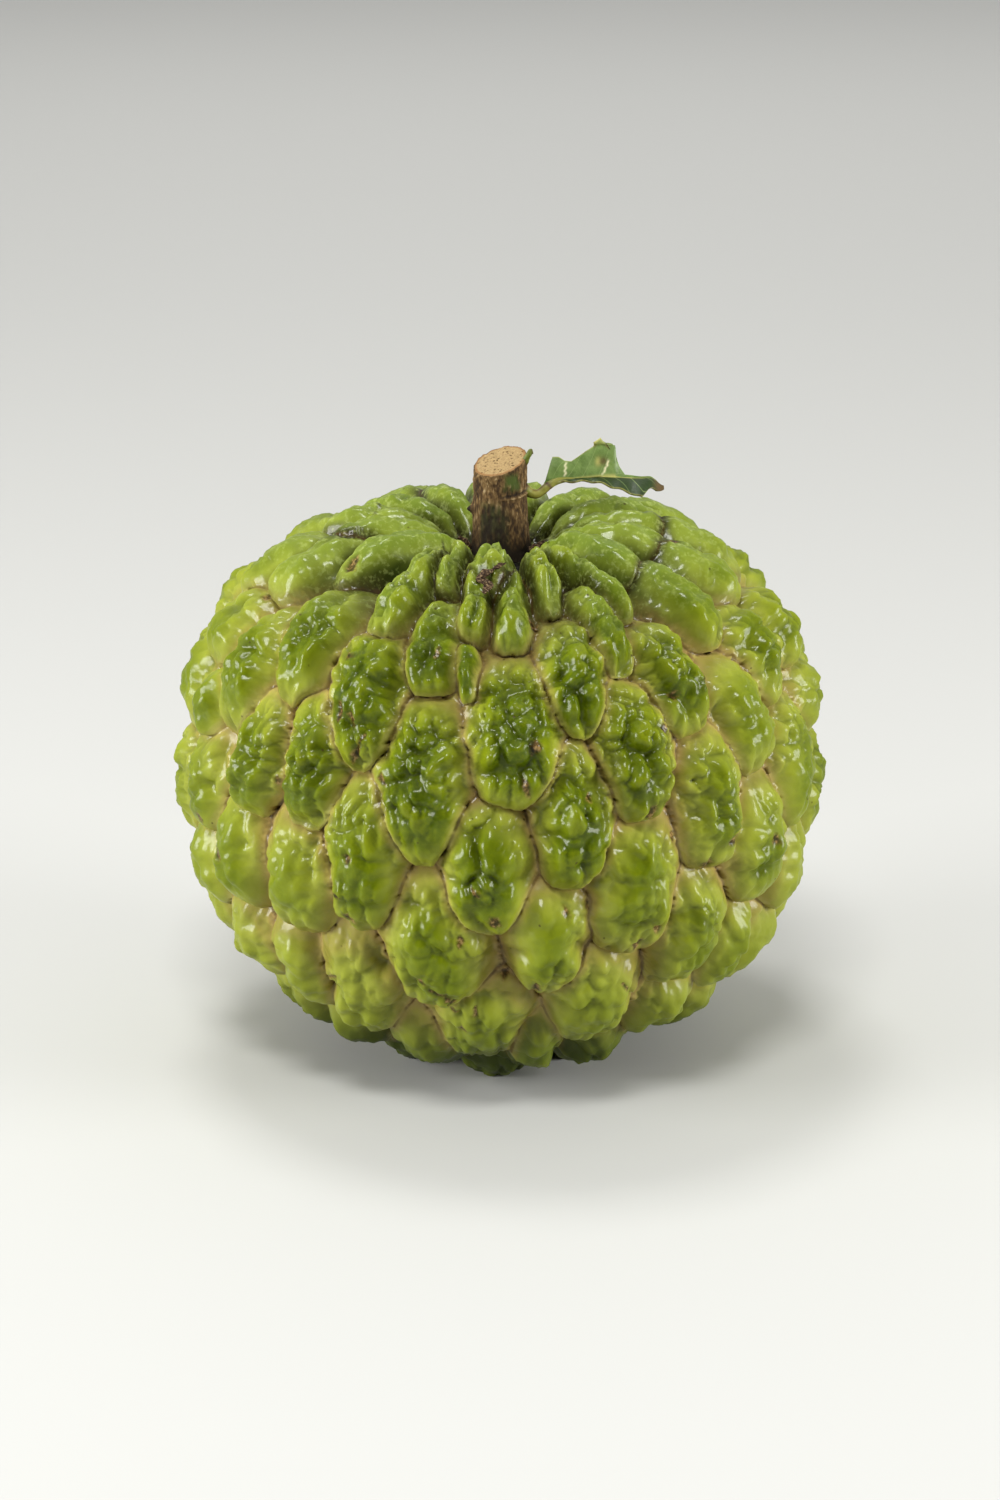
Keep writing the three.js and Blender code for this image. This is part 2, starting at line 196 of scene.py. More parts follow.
def outline(latitude):
    """Radius and height in mm of the body's outline at a latitude in degrees."""
    latitude = np.asarray(latitude, float)
    upper = latitude >= 0
    squareness = np.where(upper, SHOULDER_SQUARENESS, BELLY_SQUARENESS)
    c, s = np.cos(np.radians(latitude)), np.sin(np.radians(latitude))
    swell = (np.abs(c) ** squareness + np.abs(s) ** squareness) ** (-1 / squareness)
    radius = BODY_RADIUS * c * swell
    dip = np.where(upper, CAVITY_DEPTH * np.exp(-(radius / CAVITY_RADIUS) ** 2), 0)
    reach = np.where(upper, BODY_RISE, BODY_DROP)
    return radius, BODY_DROP - FLAT_SPOT_CUT + reach * s * swell - dip


def body_point(lon, latitude):
    """Points in mm on the body's outline, turned to a longitude, about the fruit's own axis."""
    radius, height = outline(latitude)
    turn = np.radians(lon)
    return np.stack([radius * np.sin(turn), -radius * np.cos(turn), height], axis=-1)


def unit(vectors):
    return vectors / np.linalg.norm(vectors, axis=-1, keepdims=True)


def directions(lon, latitude):
    """East, down along the skin and straight out, at places on the body."""
    down = unit(body_point(lon, latitude - 0.5) - body_point(lon, latitude + 0.5))
    turn = np.radians(lon)
    east = np.stack([np.cos(turn), np.sin(turn), np.zeros_like(turn)], axis=-1)
    return east, down, np.cross(down, east)


def spiral_places(listed):
    """Spiral places wherever it passes clear of the listed carpels and of the stalk."""
    stations = np.vstack([body_point(listed[:, 0], listed[:, 3]), body_point(0, 90)])
    index = np.arange(SPIRAL_COUNT)
    latitude = np.degrees(np.arcsin(1 - (2 * index + 1) / SPIRAL_COUNT))
    lon = index * GOLDEN_ANGLE % 360
    gaps = np.linalg.norm(body_point(lon, latitude)[:, None] - stations, axis=2)
    clear = gaps.min(axis=1) > SPIRAL_CLEARANCE
    lon, latitude = lon[clear], latitude[clear]
    for _ in range(SPACING_ROUNDS):
        points = body_point(lon, latitude)
        away = points[:, None] - np.vstack([stations, points])
        gaps = np.linalg.norm(away, axis=2)
        near = (gaps > 0) & (gaps <= SPACING)
        pull = np.where(near, SPACING_STEP * (1 - gaps / SPACING) / np.where(near, gaps, 1), 0)
        push = (away * pull[:, :, None]).sum(axis=1)
        sin_lon, cos_lon = np.sin(np.radians(lon)), np.cos(np.radians(lon))
        sin_lat, cos_lat = np.sin(np.radians(latitude)), np.cos(np.radians(latitude))
        east = push[:, 0] * cos_lon + push[:, 1] * sin_lon
        north = sin_lat * (push[:, 1] * cos_lon - push[:, 0] * sin_lon) + cos_lat * push[:, 2]
        lon = lon + np.degrees(east / outline(latitude)[0])
        latitude = latitude + np.degrees(north / BODY_RADIUS)
    return lon, latitude


listed = np.array(STALK_RING + SHOULDER + GIRDLE + BELLY + [FOOT_CARPEL], float)
lon, latitude = spiral_places(listed)
index = 3 * np.arange(len(lon))
reach = SPIRAL_REACH + REACH_WANDER * scatter(index + 1)
half = SPIRAL_HALF_WIDTH + WIDTH_WANDER * scatter(index + 2)
spiral = [lon, half, latitude + reach, latitude, latitude - reach, LEAN_WANDER * scatter(index + 3)]
carpels = np.vstack([listed, np.transpose(spiral)])

# Shape of one knob of skin: how high its crown stands, how deep its edges fall, how far it spreads
# under its neighbours, and how steeply it falls at its hidden upper end, its sides and its tip.
# Round the stalk the knobs are fingers, which are deeper, more level and narrower at their roots.
CROWN_HEIGHT = 0.9
EDGE_FALL = 5.4
VALLEY_FLOOR = -3.7
UPPER_END_DIP = 0.7
SPREAD, SIDE_SPREAD = 1.2, 1.34
CORNER_SHARPNESS = 8
CORNER_ACROSS, CORNER_ALONG = 0.93, 0.56
UPPER_STEEPNESS, SIDE_STEEPNESS, TIP_STEEPNESS = 1.4, 1.6, 4.0
FINGER_FALL, FINGER_STEEPNESS, FINGER_LEVEL, FINGER_TAPER = 3.4, 0.6, 2.4, 0.5
TIP_OVERHANG = 1.0
KNOB_REACH = 22
FAR_BELOW = -99.0

# Marks of its months on the tree: [longitude, latitude, half length and half width in mm, turn
# from upright in degrees, and how far the skin is raised or sunken there].
MARKS = [
    [6, 24.5, 0.9, 0.8, 0, 0.25], [4.5, 17.5, 1.5, 0.55, 25, -0.15], [27, 10.5, 1.1, 0.8, 0, -0.3],
    [15.5, 14, 0.7, 0.5, 20, -0.6], [-32, 39, 1.0, 0.6, 70, 0.2], [-30, 28.5, 1.5, 0.75, -10, -0.4],
    [-27, 27.5, 1.0, 0.5, 15, -0.4], [-25.5, 23, 2.2, 0.35, -25, -0.3], [-21, 17, 0.9, 0.6, 0, -0.2],
    [-26, 1, 0.8, 0.6, 30, -0.3], [-28.5, -7, 0.7, 0.45, 60, -0.2], [-27, -11, 1.1, 0.7, 80, -0.4],
    [-1, -9, 0.8, 0.7, 0, 0.2], [-4, -3.5, 0.7, 0.5, 30, 0.1], [11.5, -9, 0.8, 0.5, 0, -0.2],
    [16, -9, 1.2, 0.35, 10, -0.3], [41.5, 33, 0.9, 0.7, -30, 0.15], [31, 25.5, 0.8, 0.6, 0, -0.2],
    [32.5, 2.5, 0.8, 0.5, 0, -0.3], [45.5, 0, 1.8, 0.6, 80, -0.4], [39.5, -3, 1.3, 0.8, 60, -0.3],
    [7, -25.5, 0.8, 0.5, 0, -0.2], [26, -17.5, 0.9, 0.7, 0, -0.3], [29.5, -14.5, 1.0, 0.6, 40, -0.3],
    [-15, -23, 1.6, 0.35, 50, -0.1], [-12, -26, 1.3, 0.4, 70, -0.1], [-9.5, -28, 1.2, 0.35, 40, -0.1],
    [-36, -29, 1.5, 0.35, -60, -0.2], [1, -26, 0.7, 0.5, 0, -0.2], [-5, -32.5, 0.8, 0.4, 0, -0.2],
    [-9.5, -33, 0.7, 0.4, 50, -0.2], [-8, -38, 0.8, 0.5, 0, -0.2], [25.5, -28.5, 0.9, 0.4, 30, -0.2],
    [-7, -14.5, 0.7, 0.4, 0, -0.1], [56, 26, 0.8, 0.6, 0, -0.2], [56, -3, 0.9, 0.6, 20, -0.2],
    [62, -5, 0.8, 0.5, 0, -0.2], [-57, -6, 0.8, 0.6, 0, -0.2], [-67, -2, 0.8, 0.5, 30, -0.2],
    [8.5, 51, 1.2, 0.7, 15, -0.2], [-51, 58, 1.2, 0.8, 30, -0.5], [74, 59, 2.2, 0.45, 80, 0.1],
    [-74, 45, 2.0, 0.6, 60, -0.2], [34, 31, 0.7, 0.45, 0, -0.2], [-44, 12, 0.7, 0.5, 0, -0.2],
    [-13, 41, 0.8, 0.35, -20, -0.3], [150, 20, 1.0, 0.7, 0, -0.3], [-140, -5, 0.9, 0.6, 0, -0.2],
    [175, -20, 1.1, 0.5, 40, -0.2], [110, 5, 0.9, 0.6, 0, -0.2], [-110, 25, 1.2, 0.5, 60, -0.2],
    [130, 40, 0.8, 0.7, 0, 0.2], [-165, 35, 1.0, 0.5, 20, -0.2], [-120, -30, 1.2, 0.4, 50, -0.2],
]


class Knobs:
    """Where each carpel's knob stands on the body, which way it lies, and how far it spreads."""
    centre = body_point(carpels[:, 0], carpels[:, 3])
    east, down, out = directions(carpels[:, 0], carpels[:, 3])
    lean = np.radians(carpels[:, 5])[:, None]
    across = east * np.cos(lean) - down * np.sin(lean)
    along = east * np.sin(lean) + down * np.cos(lean)
    half = carpels[:, 1] * SIDE_SPREAD
    rise = np.linalg.norm(body_point(carpels[:, 0], carpels[:, 2]) - centre, axis=1)
    drop = np.linalg.norm(body_point(carpels[:, 0], carpels[:, 4]) - centre, axis=1)
    up = np.maximum(rise, carpels[:, 1]) * SPREAD
    fall = np.maximum(drop, 0.8 * carpels[:, 1]) * SPREAD
    finger = ease(carpels[:, 3], 42, 62)


def survey(points):
    """For points in mm on the body: which knob owns each, its height there, the height of the
    next knob, and the place across and along the knob as shares of its reach."""
    count = len(points)
    best = np.full(count, FAR_BELOW)
    second = np.full(count, FAR_BELOW)
    owner = np.zeros(count, int)
    place = np.zeros((count, 2))
    for knob, centre in enumerate(Knobs.centre):
        offset = points - centre
        near = np.flatnonzero((offset ** 2).sum(axis=1) < KNOB_REACH ** 2)
        offset = offset[near]
        v = offset @ Knobs.along[knob]
        v = np.where(v > 0, v / Knobs.fall[knob], v / Knobs.up[knob])
        half = Knobs.half[knob] * (1 - FINGER_TAPER * Knobs.finger[knob] * ease(-v, -0.2, 1))
        u = offset @ Knobs.across[knob] / half
        corner = knob * 4 + 2 * (u > 0) + (v > 0)
        slant = CORNER_ACROSS * np.abs(u) + (CORNER_ALONG + 0.1 * scatter(corner)) * np.abs(v)
        sides = np.stack([np.abs(u), np.abs(v), slant])
        edge = (sides ** CORNER_SHARPNESS).sum(axis=0) ** (1 / CORNER_SHARPNESS)
        end = v / np.maximum(edge, 0.001)
        upper = UPPER_STEEPNESS + FINGER_LEVEL * Knobs.finger[knob] - SIDE_STEEPNESS
        steep = SIDE_STEEPNESS + np.where(
            end > 0, (TIP_STEEPNESS - SIDE_STEEPNESS) * ease(end, 0.2, 0.9),
            upper * ease(-end, 0.1, 0.9))
        steep = steep + FINGER_STEEPNESS * Knobs.finger[knob]
        deep = EDGE_FALL + FINGER_FALL * Knobs.finger[knob]
        height = CROWN_HEIGHT - deep * np.minimum(edge, 1.5) ** steep
        height -= UPPER_END_DIP * ease(-v, 0.2, 1.1)
        wins = height > best[near]
        second[near] = np.where(wins, best[near], np.maximum(second[near], height))
        best[near] = np.where(wins, height, best[near])
        winners = near[wins]
        owner[winners] = knob
        place[winners, 0] = u[wins]
        place[winners, 1] = v[wins]
    return owner, best, second, place


# Folds of the skin on a knob: big lumps, blisters on those and small ones between, each with its
# width, its length and how high it stands, and how far they are scattered from even rows.
BIG_WIDTH, BIG_LENGTH, BIG_HEIGHT = 3.9, 6.0, 1.25
BLISTER_WIDTH, BLISTER_LENGTH, BLISTER_HEIGHT = 2.3, 3.3, 1.0
SMALL_WIDTH, SMALL_LENGTH, SMALL_HEIGHT = 1.5, 1.9, 0.5
FOLD_SINK, CLEFT_DEPTH, DEEPEST_FOLD = 1.2, 0.25, -1.3
LOBE_WANDER, LOBE_ROUNDNESS = 0.36, 0.52


def lobes(u, v, owner, width, length, seed):
    """Height from about 0 to 1 of small blisters in rows along a knob, round at their lower
    edges and growing out of each other above, and 1 in the clefts between them."""
    x = u / width + 7.3 * scatter(owner + seed)
    y = v / length + 5.1 * scatter(owner + 3 * seed + 1)
    height = np.full(len(u), -1.0)
    lower = np.full(len(u), -1.0)
    for right, below in itertools.product((-1, 0, 1), repeat=2):
        column, row = np.floor(x) + right, np.floor(y) + below
        key = column * 17.0 + row * 59.0 + owner * 5.0 + seed
        p = x - (column + 0.5 + LOBE_WANDER * scatter(key))
        q = y - (row + 0.5 + LOBE_WANDER * scatter(key + 0.37))
        top = 0.75 + 0.25 * scatter(key + 0.71)
        round_off = (p * p + q * q) / LOBE_ROUNDNESS
        dome = top - np.where(q > 0, round_off ** 1.5, round_off)
        lower = np.maximum(lower, np.minimum(height, dome))
        height = np.maximum(height, dome)
    return height, ease(lower - height, -1.4 / width, -0.1)


# The skin starts as a ball of even triangles, which are EDGE_LENGTH mm on a side on the fruit. Its
# vertices are drawn towards the front, where the mesh is then finest.
BALL_SUBDIVISIONS, EXTRA_CUTS = 6, 2
EDGE_LENGTH = 0.6
FRONT, FINER_FRONT = np.array([0, -0.94, 0.34]), 0.25
form = bmesh.new()
bmesh.ops.create_icosphere(form, subdivisions=BALL_SUBDIVISIONS, radius=1)
bmesh.ops.subdivide_edges(form, edges=form.edges, cuts=EXTRA_CUTS, use_grid_fill=True)
bmesh.ops.triangulate(form, faces=[face for face in form.faces if len(face.verts) > 3])
skin = bpy.data.meshes.new("fruit_skin")
form.to_mesh(skin)
form.free()

ball = np.empty(len(skin.vertices) * 3)
skin.vertices.foreach_get("co", ball)
ball = unit(ball.reshape(-1, 3))
facing = np.clip(ball @ unit(FRONT), -0.9999, 0.9999)
drawn = (facing + FINER_FRONT) / (1 + FINER_FRONT * facing)
sideways = (ball - facing[:, None] * unit(FRONT)) / np.sqrt(1 - facing ** 2)[:, None]
ball = drawn[:, None] * unit(FRONT) + np.sqrt(1 - drawn ** 2)[:, None] * sideways
edge_length = EDGE_LENGTH * math.sqrt(1 - FINER_FRONT ** 2) / (1 + FINER_FRONT * facing)
latitude = np.degrees(np.arcsin(np.clip(ball[:, 2], -1, 1)))
lon = np.degrees(np.arctan2(ball[:, 0], -ball[:, 1]))


def wandered(points):
    """The same places, shifted a little so that the seams between knobs wander."""
    shift = [0.8 * grain(points, 8, seed) + 0.35 * grain(points, 3, seed + 3) for seed in (1, 2, 3)]
    return points + np.transpose(shift)


# Vertices close to a seam are slid onto it, so that each seam is one clean line.
base = body_point(lon, latitude)
east, down, out = directions(lon, latitude)
STEP, SLIDE_ROUNDS, GENTLEST = 0.15, 2, 0.3
for _ in range(SLIDE_ROUNDS):
    owner, best, second, place = survey(wandered(base))
    gap = best - second
    slope = []
    for way in (east, down):
        owner_there, best_there, second_there, _ = survey(wandered(base + STEP * way))
        gap_there = np.where(owner_there == owner, 1, -1) * (best_there - second_there)
        slope.append((gap_there - gap) / STEP)
    steepness = np.maximum(np.hypot(*slope), GENTLEST)
    distance = gap / steepness
    slide = np.where(distance < 0.5 * edge_length, -distance / steepness, 0)
    base = base + (slide * slope[0])[:, None] * east + (slide * slope[1])[:, None] * down
owner, best, second, place = survey(wandered(base))
FARTHEST_SEAM = 6
seam = np.minimum((best - second) / steepness, FARTHEST_SEAM)

# Where each vertex is: across and along its knob in mm, how far out from the knob's middle, how
# near to the stalk, how far down the belly, how far round from the front, and how well up the crown.
u_mm = place[:, 0] * Knobs.half[owner]
v_mm = place[:, 1] * np.where(place[:, 1] > 0, Knobs.fall[owner], Knobs.up[owner])
reach = np.hypot(*place.T)
from_front = np.abs(lon)
near_stalk = ease(latitude, 38, 62)
belly = ease(-latitude, 0, 30)
aside = ease(from_front, 14, 46)
crown = ease(-reach, -1.0, -0.5) * ease(place[:, 1], -0.95, -0.3)
crown = np.maximum(crown, ease(place[:, 1], 0.3, 0.7) * ease(seam, 0.3, 1.4))

# The folds are calmer on the belly and the sides, and on the fingers beside the stalk, and lively
# on the fingers in front of it.
bend = 0.5 * grain(base, 2.4, 9)
big_width, big_length = BIG_WIDTH - 0.6 * near_stalk, BIG_LENGTH + 3 * near_stalk
blister_length = BLISTER_LENGTH + 0.7 * near_stalk
big, big_cleft = lobes(u_mm + bend, v_mm, owner, big_width, big_length, 5)
blisters, cleft = lobes(u_mm + bend, v_mm - bend, owner, BLISTER_WIDTH, blister_length, 8)
small, _ = lobes(u_mm - bend, v_mm, owner, SMALL_WIDTH, SMALL_LENGTH, 11)
cleft = np.maximum(big_cleft, cleft * ease(grain(base, 3, 31), -0.6, 0.2))
lively = (1 - 0.34 * ease(-latitude, -18, 18)) * (1 - 0.3 * ease(from_front, 20, 60))
lively = lively * (1 + 0.2 * scatter(owner * 5))
lively = np.maximum(lively * (1 - 0.5 * near_stalk * aside), 1.6 * near_stalk * (1 - 0.7 * aside))
lively = lively * (0.95 + 0.4 * grain(base, 4.5, 15))
fold = BIG_HEIGHT * big + BLISTER_HEIGHT * blisters + SMALL_HEIGHT * small
fold = (fold - FOLD_SINK - CLEFT_DEPTH * cleft) * lively
fold = np.maximum(fold, DEEPEST_FOLD) + 0.3 * grain(base, 5.5, 4)
height = np.maximum(best, VALLEY_FLOOR - 2.0 * near_stalk) + crown * fold
height += 0.1 * grain(base, 1.1, 6) * ease(seam, 0.2, 1.2) * (1 - 0.5 * near_stalk * aside)

scar = np.zeros(len(base))
for mark_lon, mark_latitude, long, wide, turn, dent in MARKS:
    ways = directions(mark_lon, mark_latitude)
    offset = base - body_point(mark_lon, mark_latitude)
    near = np.flatnonzero((offset ** 2).sum(axis=1) < (1.6 * long) ** 2)
    turn = math.radians(turn)
    side = offset[near] @ (ways[0] * math.cos(turn) - ways[1] * math.sin(turn)) / wide
    end = offset[near] @ (ways[0] * math.sin(turn) + ways[1] * math.cos(turn)) / long
    ragged = 0.3 * grain(base[near], 0.9, 21)
    from_mark = np.hypot(side, end) + ragged + 0.2 * grain(base[near], 0.45, 22)
    marked = ease(-from_mark, -1.15, -0.75)
    height[near] += dent * marked
    scar[near] = np.maximum(scar[near], marked)

# The skin lies level at its seat round the stalk, its tips overhang, and the hollow is rough.
ring = np.hypot(base[:, 0], base[:, 1])
seat = np.where(latitude > 0, ease(ring, SEAT_RADIUS, SEAT_RADIUS + SEAT_FADE), 1)
tip = ease(place[:, 1], 0.45, 0.9) * ease(seam, 0.05, 0.6) * seat
hollow = ease(-ring, -10, -6) * (latitude > 0)
height += hollow * (0.35 * grain(base, 1.6, 24) + 0.2 * grain(base, 0.8, 25))
seat = np.maximum(seat, 0.5 * hollow)
shape = base + (height * seat)[:, None] * out + (TIP_OVERHANG * tip)[:, None] * Knobs.along[owner]
shape[:, 2] = np.maximum(shape[:, 2], 0)

skin.vertices.foreach_set("co", (AXIS + shape * MM).ravel())
skin.shade_smooth()
skin.update()

# Where each colour lies on the skin, from 0 to 1, and how far away the nearest seam is. Green is
# deepest on the crowns and in a band above the middle of the front, and fades down the belly and
# round the sides, where the paler skin is partly its own colour and partly painted light from the
# sides.
raised = best + 0.3 * crown * fold
green = 0.28 * ease(-reach, -0.95, -0.3) + 0.62 * ease(raised, -3.1, 1.2) - 0.2 * belly
green += 0.1 * grain(base, 4, 12) + 0.12 * ease(place[:, 1], 0.1, 0.6) * crown
# Paler round the sides: partly the skin's own colour, partly painted light from the sides.
green -= 0.15 * ease(from_front, 40, 80) - 0.1 * ease(from_front, 90, 130)
green -= 0.3 * near_stalk * (1 - aside) + 0.14 * ease(from_front, 8, 35) - 0.04
band = 0.1 * ease(latitude, 18, 30) * ease(-latitude, -50, -40) - 0.07 * ease(-latitude, -20, -6)
green += band * ease(-from_front, -65, -40)
plain = (1 - near_stalk) * (1 - 0.55 * ease(from_front, 70, 110))
# Painted shade in the gaps between the fingers beside the stalk.
finger_gap_shade = (0.5 + 0.45 * aside) * ease(-best, 0.4, 2.6) * near_stalk
masks = {
    "seam": seam,
    "green": np.clip(green + 0.07 * scatter(owner * 3 + 2), 0, 1),
    "pale_end": 0.75 * ease(-place[:, 1], 0.45, 1.0) * ease(grain(base, 2.5, 13), -0.5, 0.3),
    # Painted shade over the foot of the fruit, added to the painted shade between the fingers.
    "painted_shade": finger_gap_shade + 0.9 * ease(-latitude, 37, 58),
    # Painted shade in the creases between the folds and in the clefts of the crowns.
    "painted_crease_shade": np.maximum(0.45 * ease(-fold, 0.3, 1.1), 0.6 * cleft * ease(lively, 0.4, 1.0)) * crown,
    "ridge": 0.5 * ease(fold, 0.2, 1.0) * crown,
    "straw": (0.4 * ease(-best, 2.2, 3.4) + 0.4 * ease(-seam, -1.1, -0.1)) * plain,
    "scar": scar,
    "fresh_green": 0.55 * near_stalk,
    # Painted shade: dark brown in the hollow round the stalk and along the seams between the fingers
    # beside it.
    "painted_gap_shade": np.maximum(0.9 * hollow, 0.95 * near_stalk * ease(-seam, -1.5, -0.1)),
    "junction": 0.7 * ease(-best, 2.8, 3.8) * ease(-seam, -1.2, -0.2) * plain,
    # Painted highlight: a pale line along the lower lip of each knob.
    "painted_lip_highlight": 0.6 * ease(place[:, 1], 0.3, 0.7) * np.exp(-((seam - 0.3) / 0.3) ** 2),
    "wrinkled": crown * (1 + 0.9 * near_stalk * aside),
}
for name, values in masks.items():
    skin.attributes.new(name, "FLOAT", "POINT").data.foreach_set("value", values.astype(np.float32))
fruit = bpy.data.objects.new("fruit_skin", skin)
bpy.context.collection.objects.link(fruit)
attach(fruit, "root")
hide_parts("fruit")


def colour(code):
    """A linear colour from an sRGB hex value."""
    shares = [int(code[i:i + 2], 16) / 255 for i in (1, 3, 5)]
    return [s / 12.92 if s <= 0.04045 else ((s + 0.055) / 1.055) ** 2.4 for s in shares] + [1]


def add(material, kind, inputs=None, out=0, stops=(), **settings):
    """Adds a node with its settings and links, and gives back one of its output sockets. An input
    is a value or another node's output, and stops are the places and colours of a colour ramp.
    Sockets go by number where that is shorter or their names repeat: 0 is a Mix's share and 6 and 7
    are its two colours, and 1 to 4 are the ends of a Map Range, from and then to."""
    node = material.node_tree.nodes.new("ShaderNode" + kind)
    for name, value in settings.items():
        setattr(node, name, value)
    for socket, value in (inputs or {}).items():
        if isinstance(value, bpy.types.NodeSocket):
            material.node_tree.links.new(value, node.inputs[socket])
        else:
            node.inputs[socket].default_value = value
    for number, (position, code) in enumerate(stops):
        ramp = node.color_ramp.elements
        stop = ramp[number] if number < 2 else ramp.new(position)
        stop.position = position
        stop.color = colour(code)
    return node.outputs[out] if node.outputs else None


def new_material(name):
    """A material with no nodes yet."""
    made = bpy.data.materials.new(name)
    made.use_nodes = True
    made.node_tree.nodes.clear()
    return made


# Waxy custard apple skin: a thin clear cuticle over soft green tissue, so it has a wet gloss. Deep
# green on the crowns, yellow green on the flanks, straw to tan down in the seams, with fine brown
# freckles. Round the stalk it is a fresher green with a pale dusty bloom. Painted shade darkens the
# creases of the folds, the foot of the fruit, the gaps between the fingers and the hollow round the
# stalk, and a painted highlight pales the lower lip of each knob.
waxy_skin = new_material("waxy_skin")
spot = add(waxy_skin, "TexCoord", out="Object")
shares = {label: add(waxy_skin, "Attribute", out="Fac", attribute_name=label) for label in masks}
tint = add(waxy_skin, "ValToRGB", {"Fac": shares["green"]}, stops=[
    (0.0, "#847d36"), (0.2, "#868a33"), (0.45, "#7f8728"), (0.72, "#5c6907"), (1.0, "#3f4e02")])
mottled = add(waxy_skin, "TexNoise", {
    "Vector": spot, "Scale": 1 / (0.8 * MM), "Detail": 3, "Roughness": 0.6})
mottle_share = add(waxy_skin, "MapRange", {"Value": mottled, 1: 0.45, 2: 0.75, 4: 0.3})
tint = add(waxy_skin, "Mix", {
    0: mottle_share, 6: tint, 7: colour("#79820f")}, out=2, data_type="RGBA")
for label, code in [
        ("pale_end", "#a09e46"), ("fresh_green", "#697c2c"), ("painted_shade", "#2e3a0f"),
        ("painted_crease_shade", "#2f3a05"), ("ridge", "#768010"), ("straw", "#a38a56"), ("painted_lip_highlight", "#a5a658"),
        ("painted_gap_shade", "#1f1a08")]:
    tint = add(waxy_skin, "Mix", {
        0: shares[label], 6: tint, 7: colour(code)}, out=2, data_type="RGBA")
bloom = add(waxy_skin, "Math", {
    0: add(waxy_skin, "MapRange", {"Value": mottled, 1: 0.52, 2: 0.66, 4: 0.7}),
    1: shares["fresh_green"]}, operation="MULTIPLY")
tint = add(waxy_skin, "Mix", {0: bloom, 6: tint, 7: colour("#a3ae64")}, out=2, data_type="RGBA")

# Cork, where the corners of carpels meet and where the skin was once hurt, then dark cracks along
# the seams that come and go, and freckles in patches.
cork = add(waxy_skin, "ValToRGB", {
    "Fac": add(waxy_skin, "TexNoise", {"Vector": spot, "Scale": 1 / (0.6 * MM), "Detail": 3})}, stops=[
    (0.38, "#1f1308"), (0.52, "#4c351b"), (0.65, "#8c7045")])
for label in ("junction", "scar"):
    share = add(waxy_skin, "MapRange", {"Value": shares[label], 1: 0, 2: 1, 4: 0.9})
    tint = add(waxy_skin, "Mix", {0: share, 6: tint, 7: cork}, out=2, data_type="RGBA")
patches = add(waxy_skin, "TexNoise", {"Vector": spot, "Scale": 1 / (3 * MM)})
crack_depth = add(waxy_skin, "MapRange", {"Value": patches, 1: 0.4, 2: 0.62, 3: 0.15, 4: 0.66})
crack = add(waxy_skin, "MapRange", {
    "Value": shares["seam"], 1: 0.33, 2: 0.08, 4: crack_depth}, interpolation_type="SMOOTHSTEP")
tint = add(waxy_skin, "Mix", {0: crack, 6: tint, 7: colour("#45300f")}, out=2, data_type="RGBA")
dotted = add(waxy_skin, "TexVoronoi", {"Vector": spot, "Scale": 1 / (2.4 * MM)})
freckles = add(waxy_skin, "Math", {
    0: add(waxy_skin, "MapRange", {"Value": dotted, 1: 0.1, 2: 0.05}),
    1: add(waxy_skin, "MapRange", {"Value": patches, 1: 0.55, 2: 0.6, 4: 0.8})}, operation="MULTIPLY")
tint = add(waxy_skin, "Mix", {0: freckles, 6: tint, 7: colour("#3b3010")}, out=2, data_type="RGBA")

# Small wrinkles of the cuticle, too fine for the mesh: bent cells 2.7 mm apart with rounded tops,
# and goose flesh of 0.9 mm and finer over them.
WRINKLE_DEPTH = 0.4
pores = add(waxy_skin, "TexNoise", {
    "Vector": spot, "Scale": 1 / (0.9 * MM), "Detail": 4, "Roughness": 0.55})
pushed = add(waxy_skin, "VectorMath", {
    0: add(waxy_skin, "TexNoise", {"Vector": spot, "Scale": 1 / (2.5 * MM)}, out="Color"),
    1: (0.5, 0.5, 0.5)}, operation="SUBTRACT")
bent_spot = add(waxy_skin, "VectorMath", {
    0: pushed, 1: (1.5 * MM,) * 3, 2: spot}, operation="MULTIPLY_ADD")
cells = add(waxy_skin, "TexVoronoi", {"Vector": bent_spot, "Scale": 1 / (2.7 * MM)})
cell_tops = add(waxy_skin, "MapRange", {"Value": cells, 1: 0, 2: 0.8, 3: 1, 4: 0})
relief = add(waxy_skin, "Bump", {
    "Strength": add(waxy_skin, "Math", {0: shares["wrinkled"], 1: 0.24}, operation="MULTIPLY"),
    "Distance": WRINKLE_DEPTH * MM, "Height": cell_tops})
relief = add(waxy_skin, "Bump", {
    "Strength": 0.1, "Distance": WRINKLE_DEPTH * MM, "Height": pores, "Normal": relief})
surface = add(waxy_skin, "BsdfPrincipled", {
    "Base Color": tint,
    "Roughness": add(waxy_skin, "MapRange", {"Value": patches, 1: 0.3, 2: 0.7, 3: 0.4, 4: 0.55}),
    "Normal": relief,
    "IOR": 1.45,
    "Specular IOR Level": 0.04,
    "Subsurface Weight": 0.1,
    "Subsurface Radius": (1.0, 0.9, 0.3),
    "Subsurface Scale": 0.8 * MM,
    "Coat Weight": 0.3,
    "Coat Roughness": 0.17,
})
add(waxy_skin, "OutputMaterial", {"Surface": surface})
skin.materials.append(waxy_skin)

# ------------------------------------------------------------
# Stalk. The short woody stalk that the fruit hung by: grey brown fibrous bark with green showing
# through, the stub of a lost twig on its left, an old ring scar, and a slanting cut across the top.
# ------------------------------------------------------------
STALK_RADIUS = 3.6
STALK_FLARE = 0.6
STALK_FOOT = 69.2
STALK_TOP = 82.4
CUT_FALL_FRONT, CUT_FALL_LEFT = math.radians(17), math.radians(14)
BARK_SIDES, BARK_RINGS, CUT_RINGS = 128, 110, 14
RING_SCAR_HEIGHT = 78.0
STUB_HEIGHT, STUB_TURN = 76.0, -82


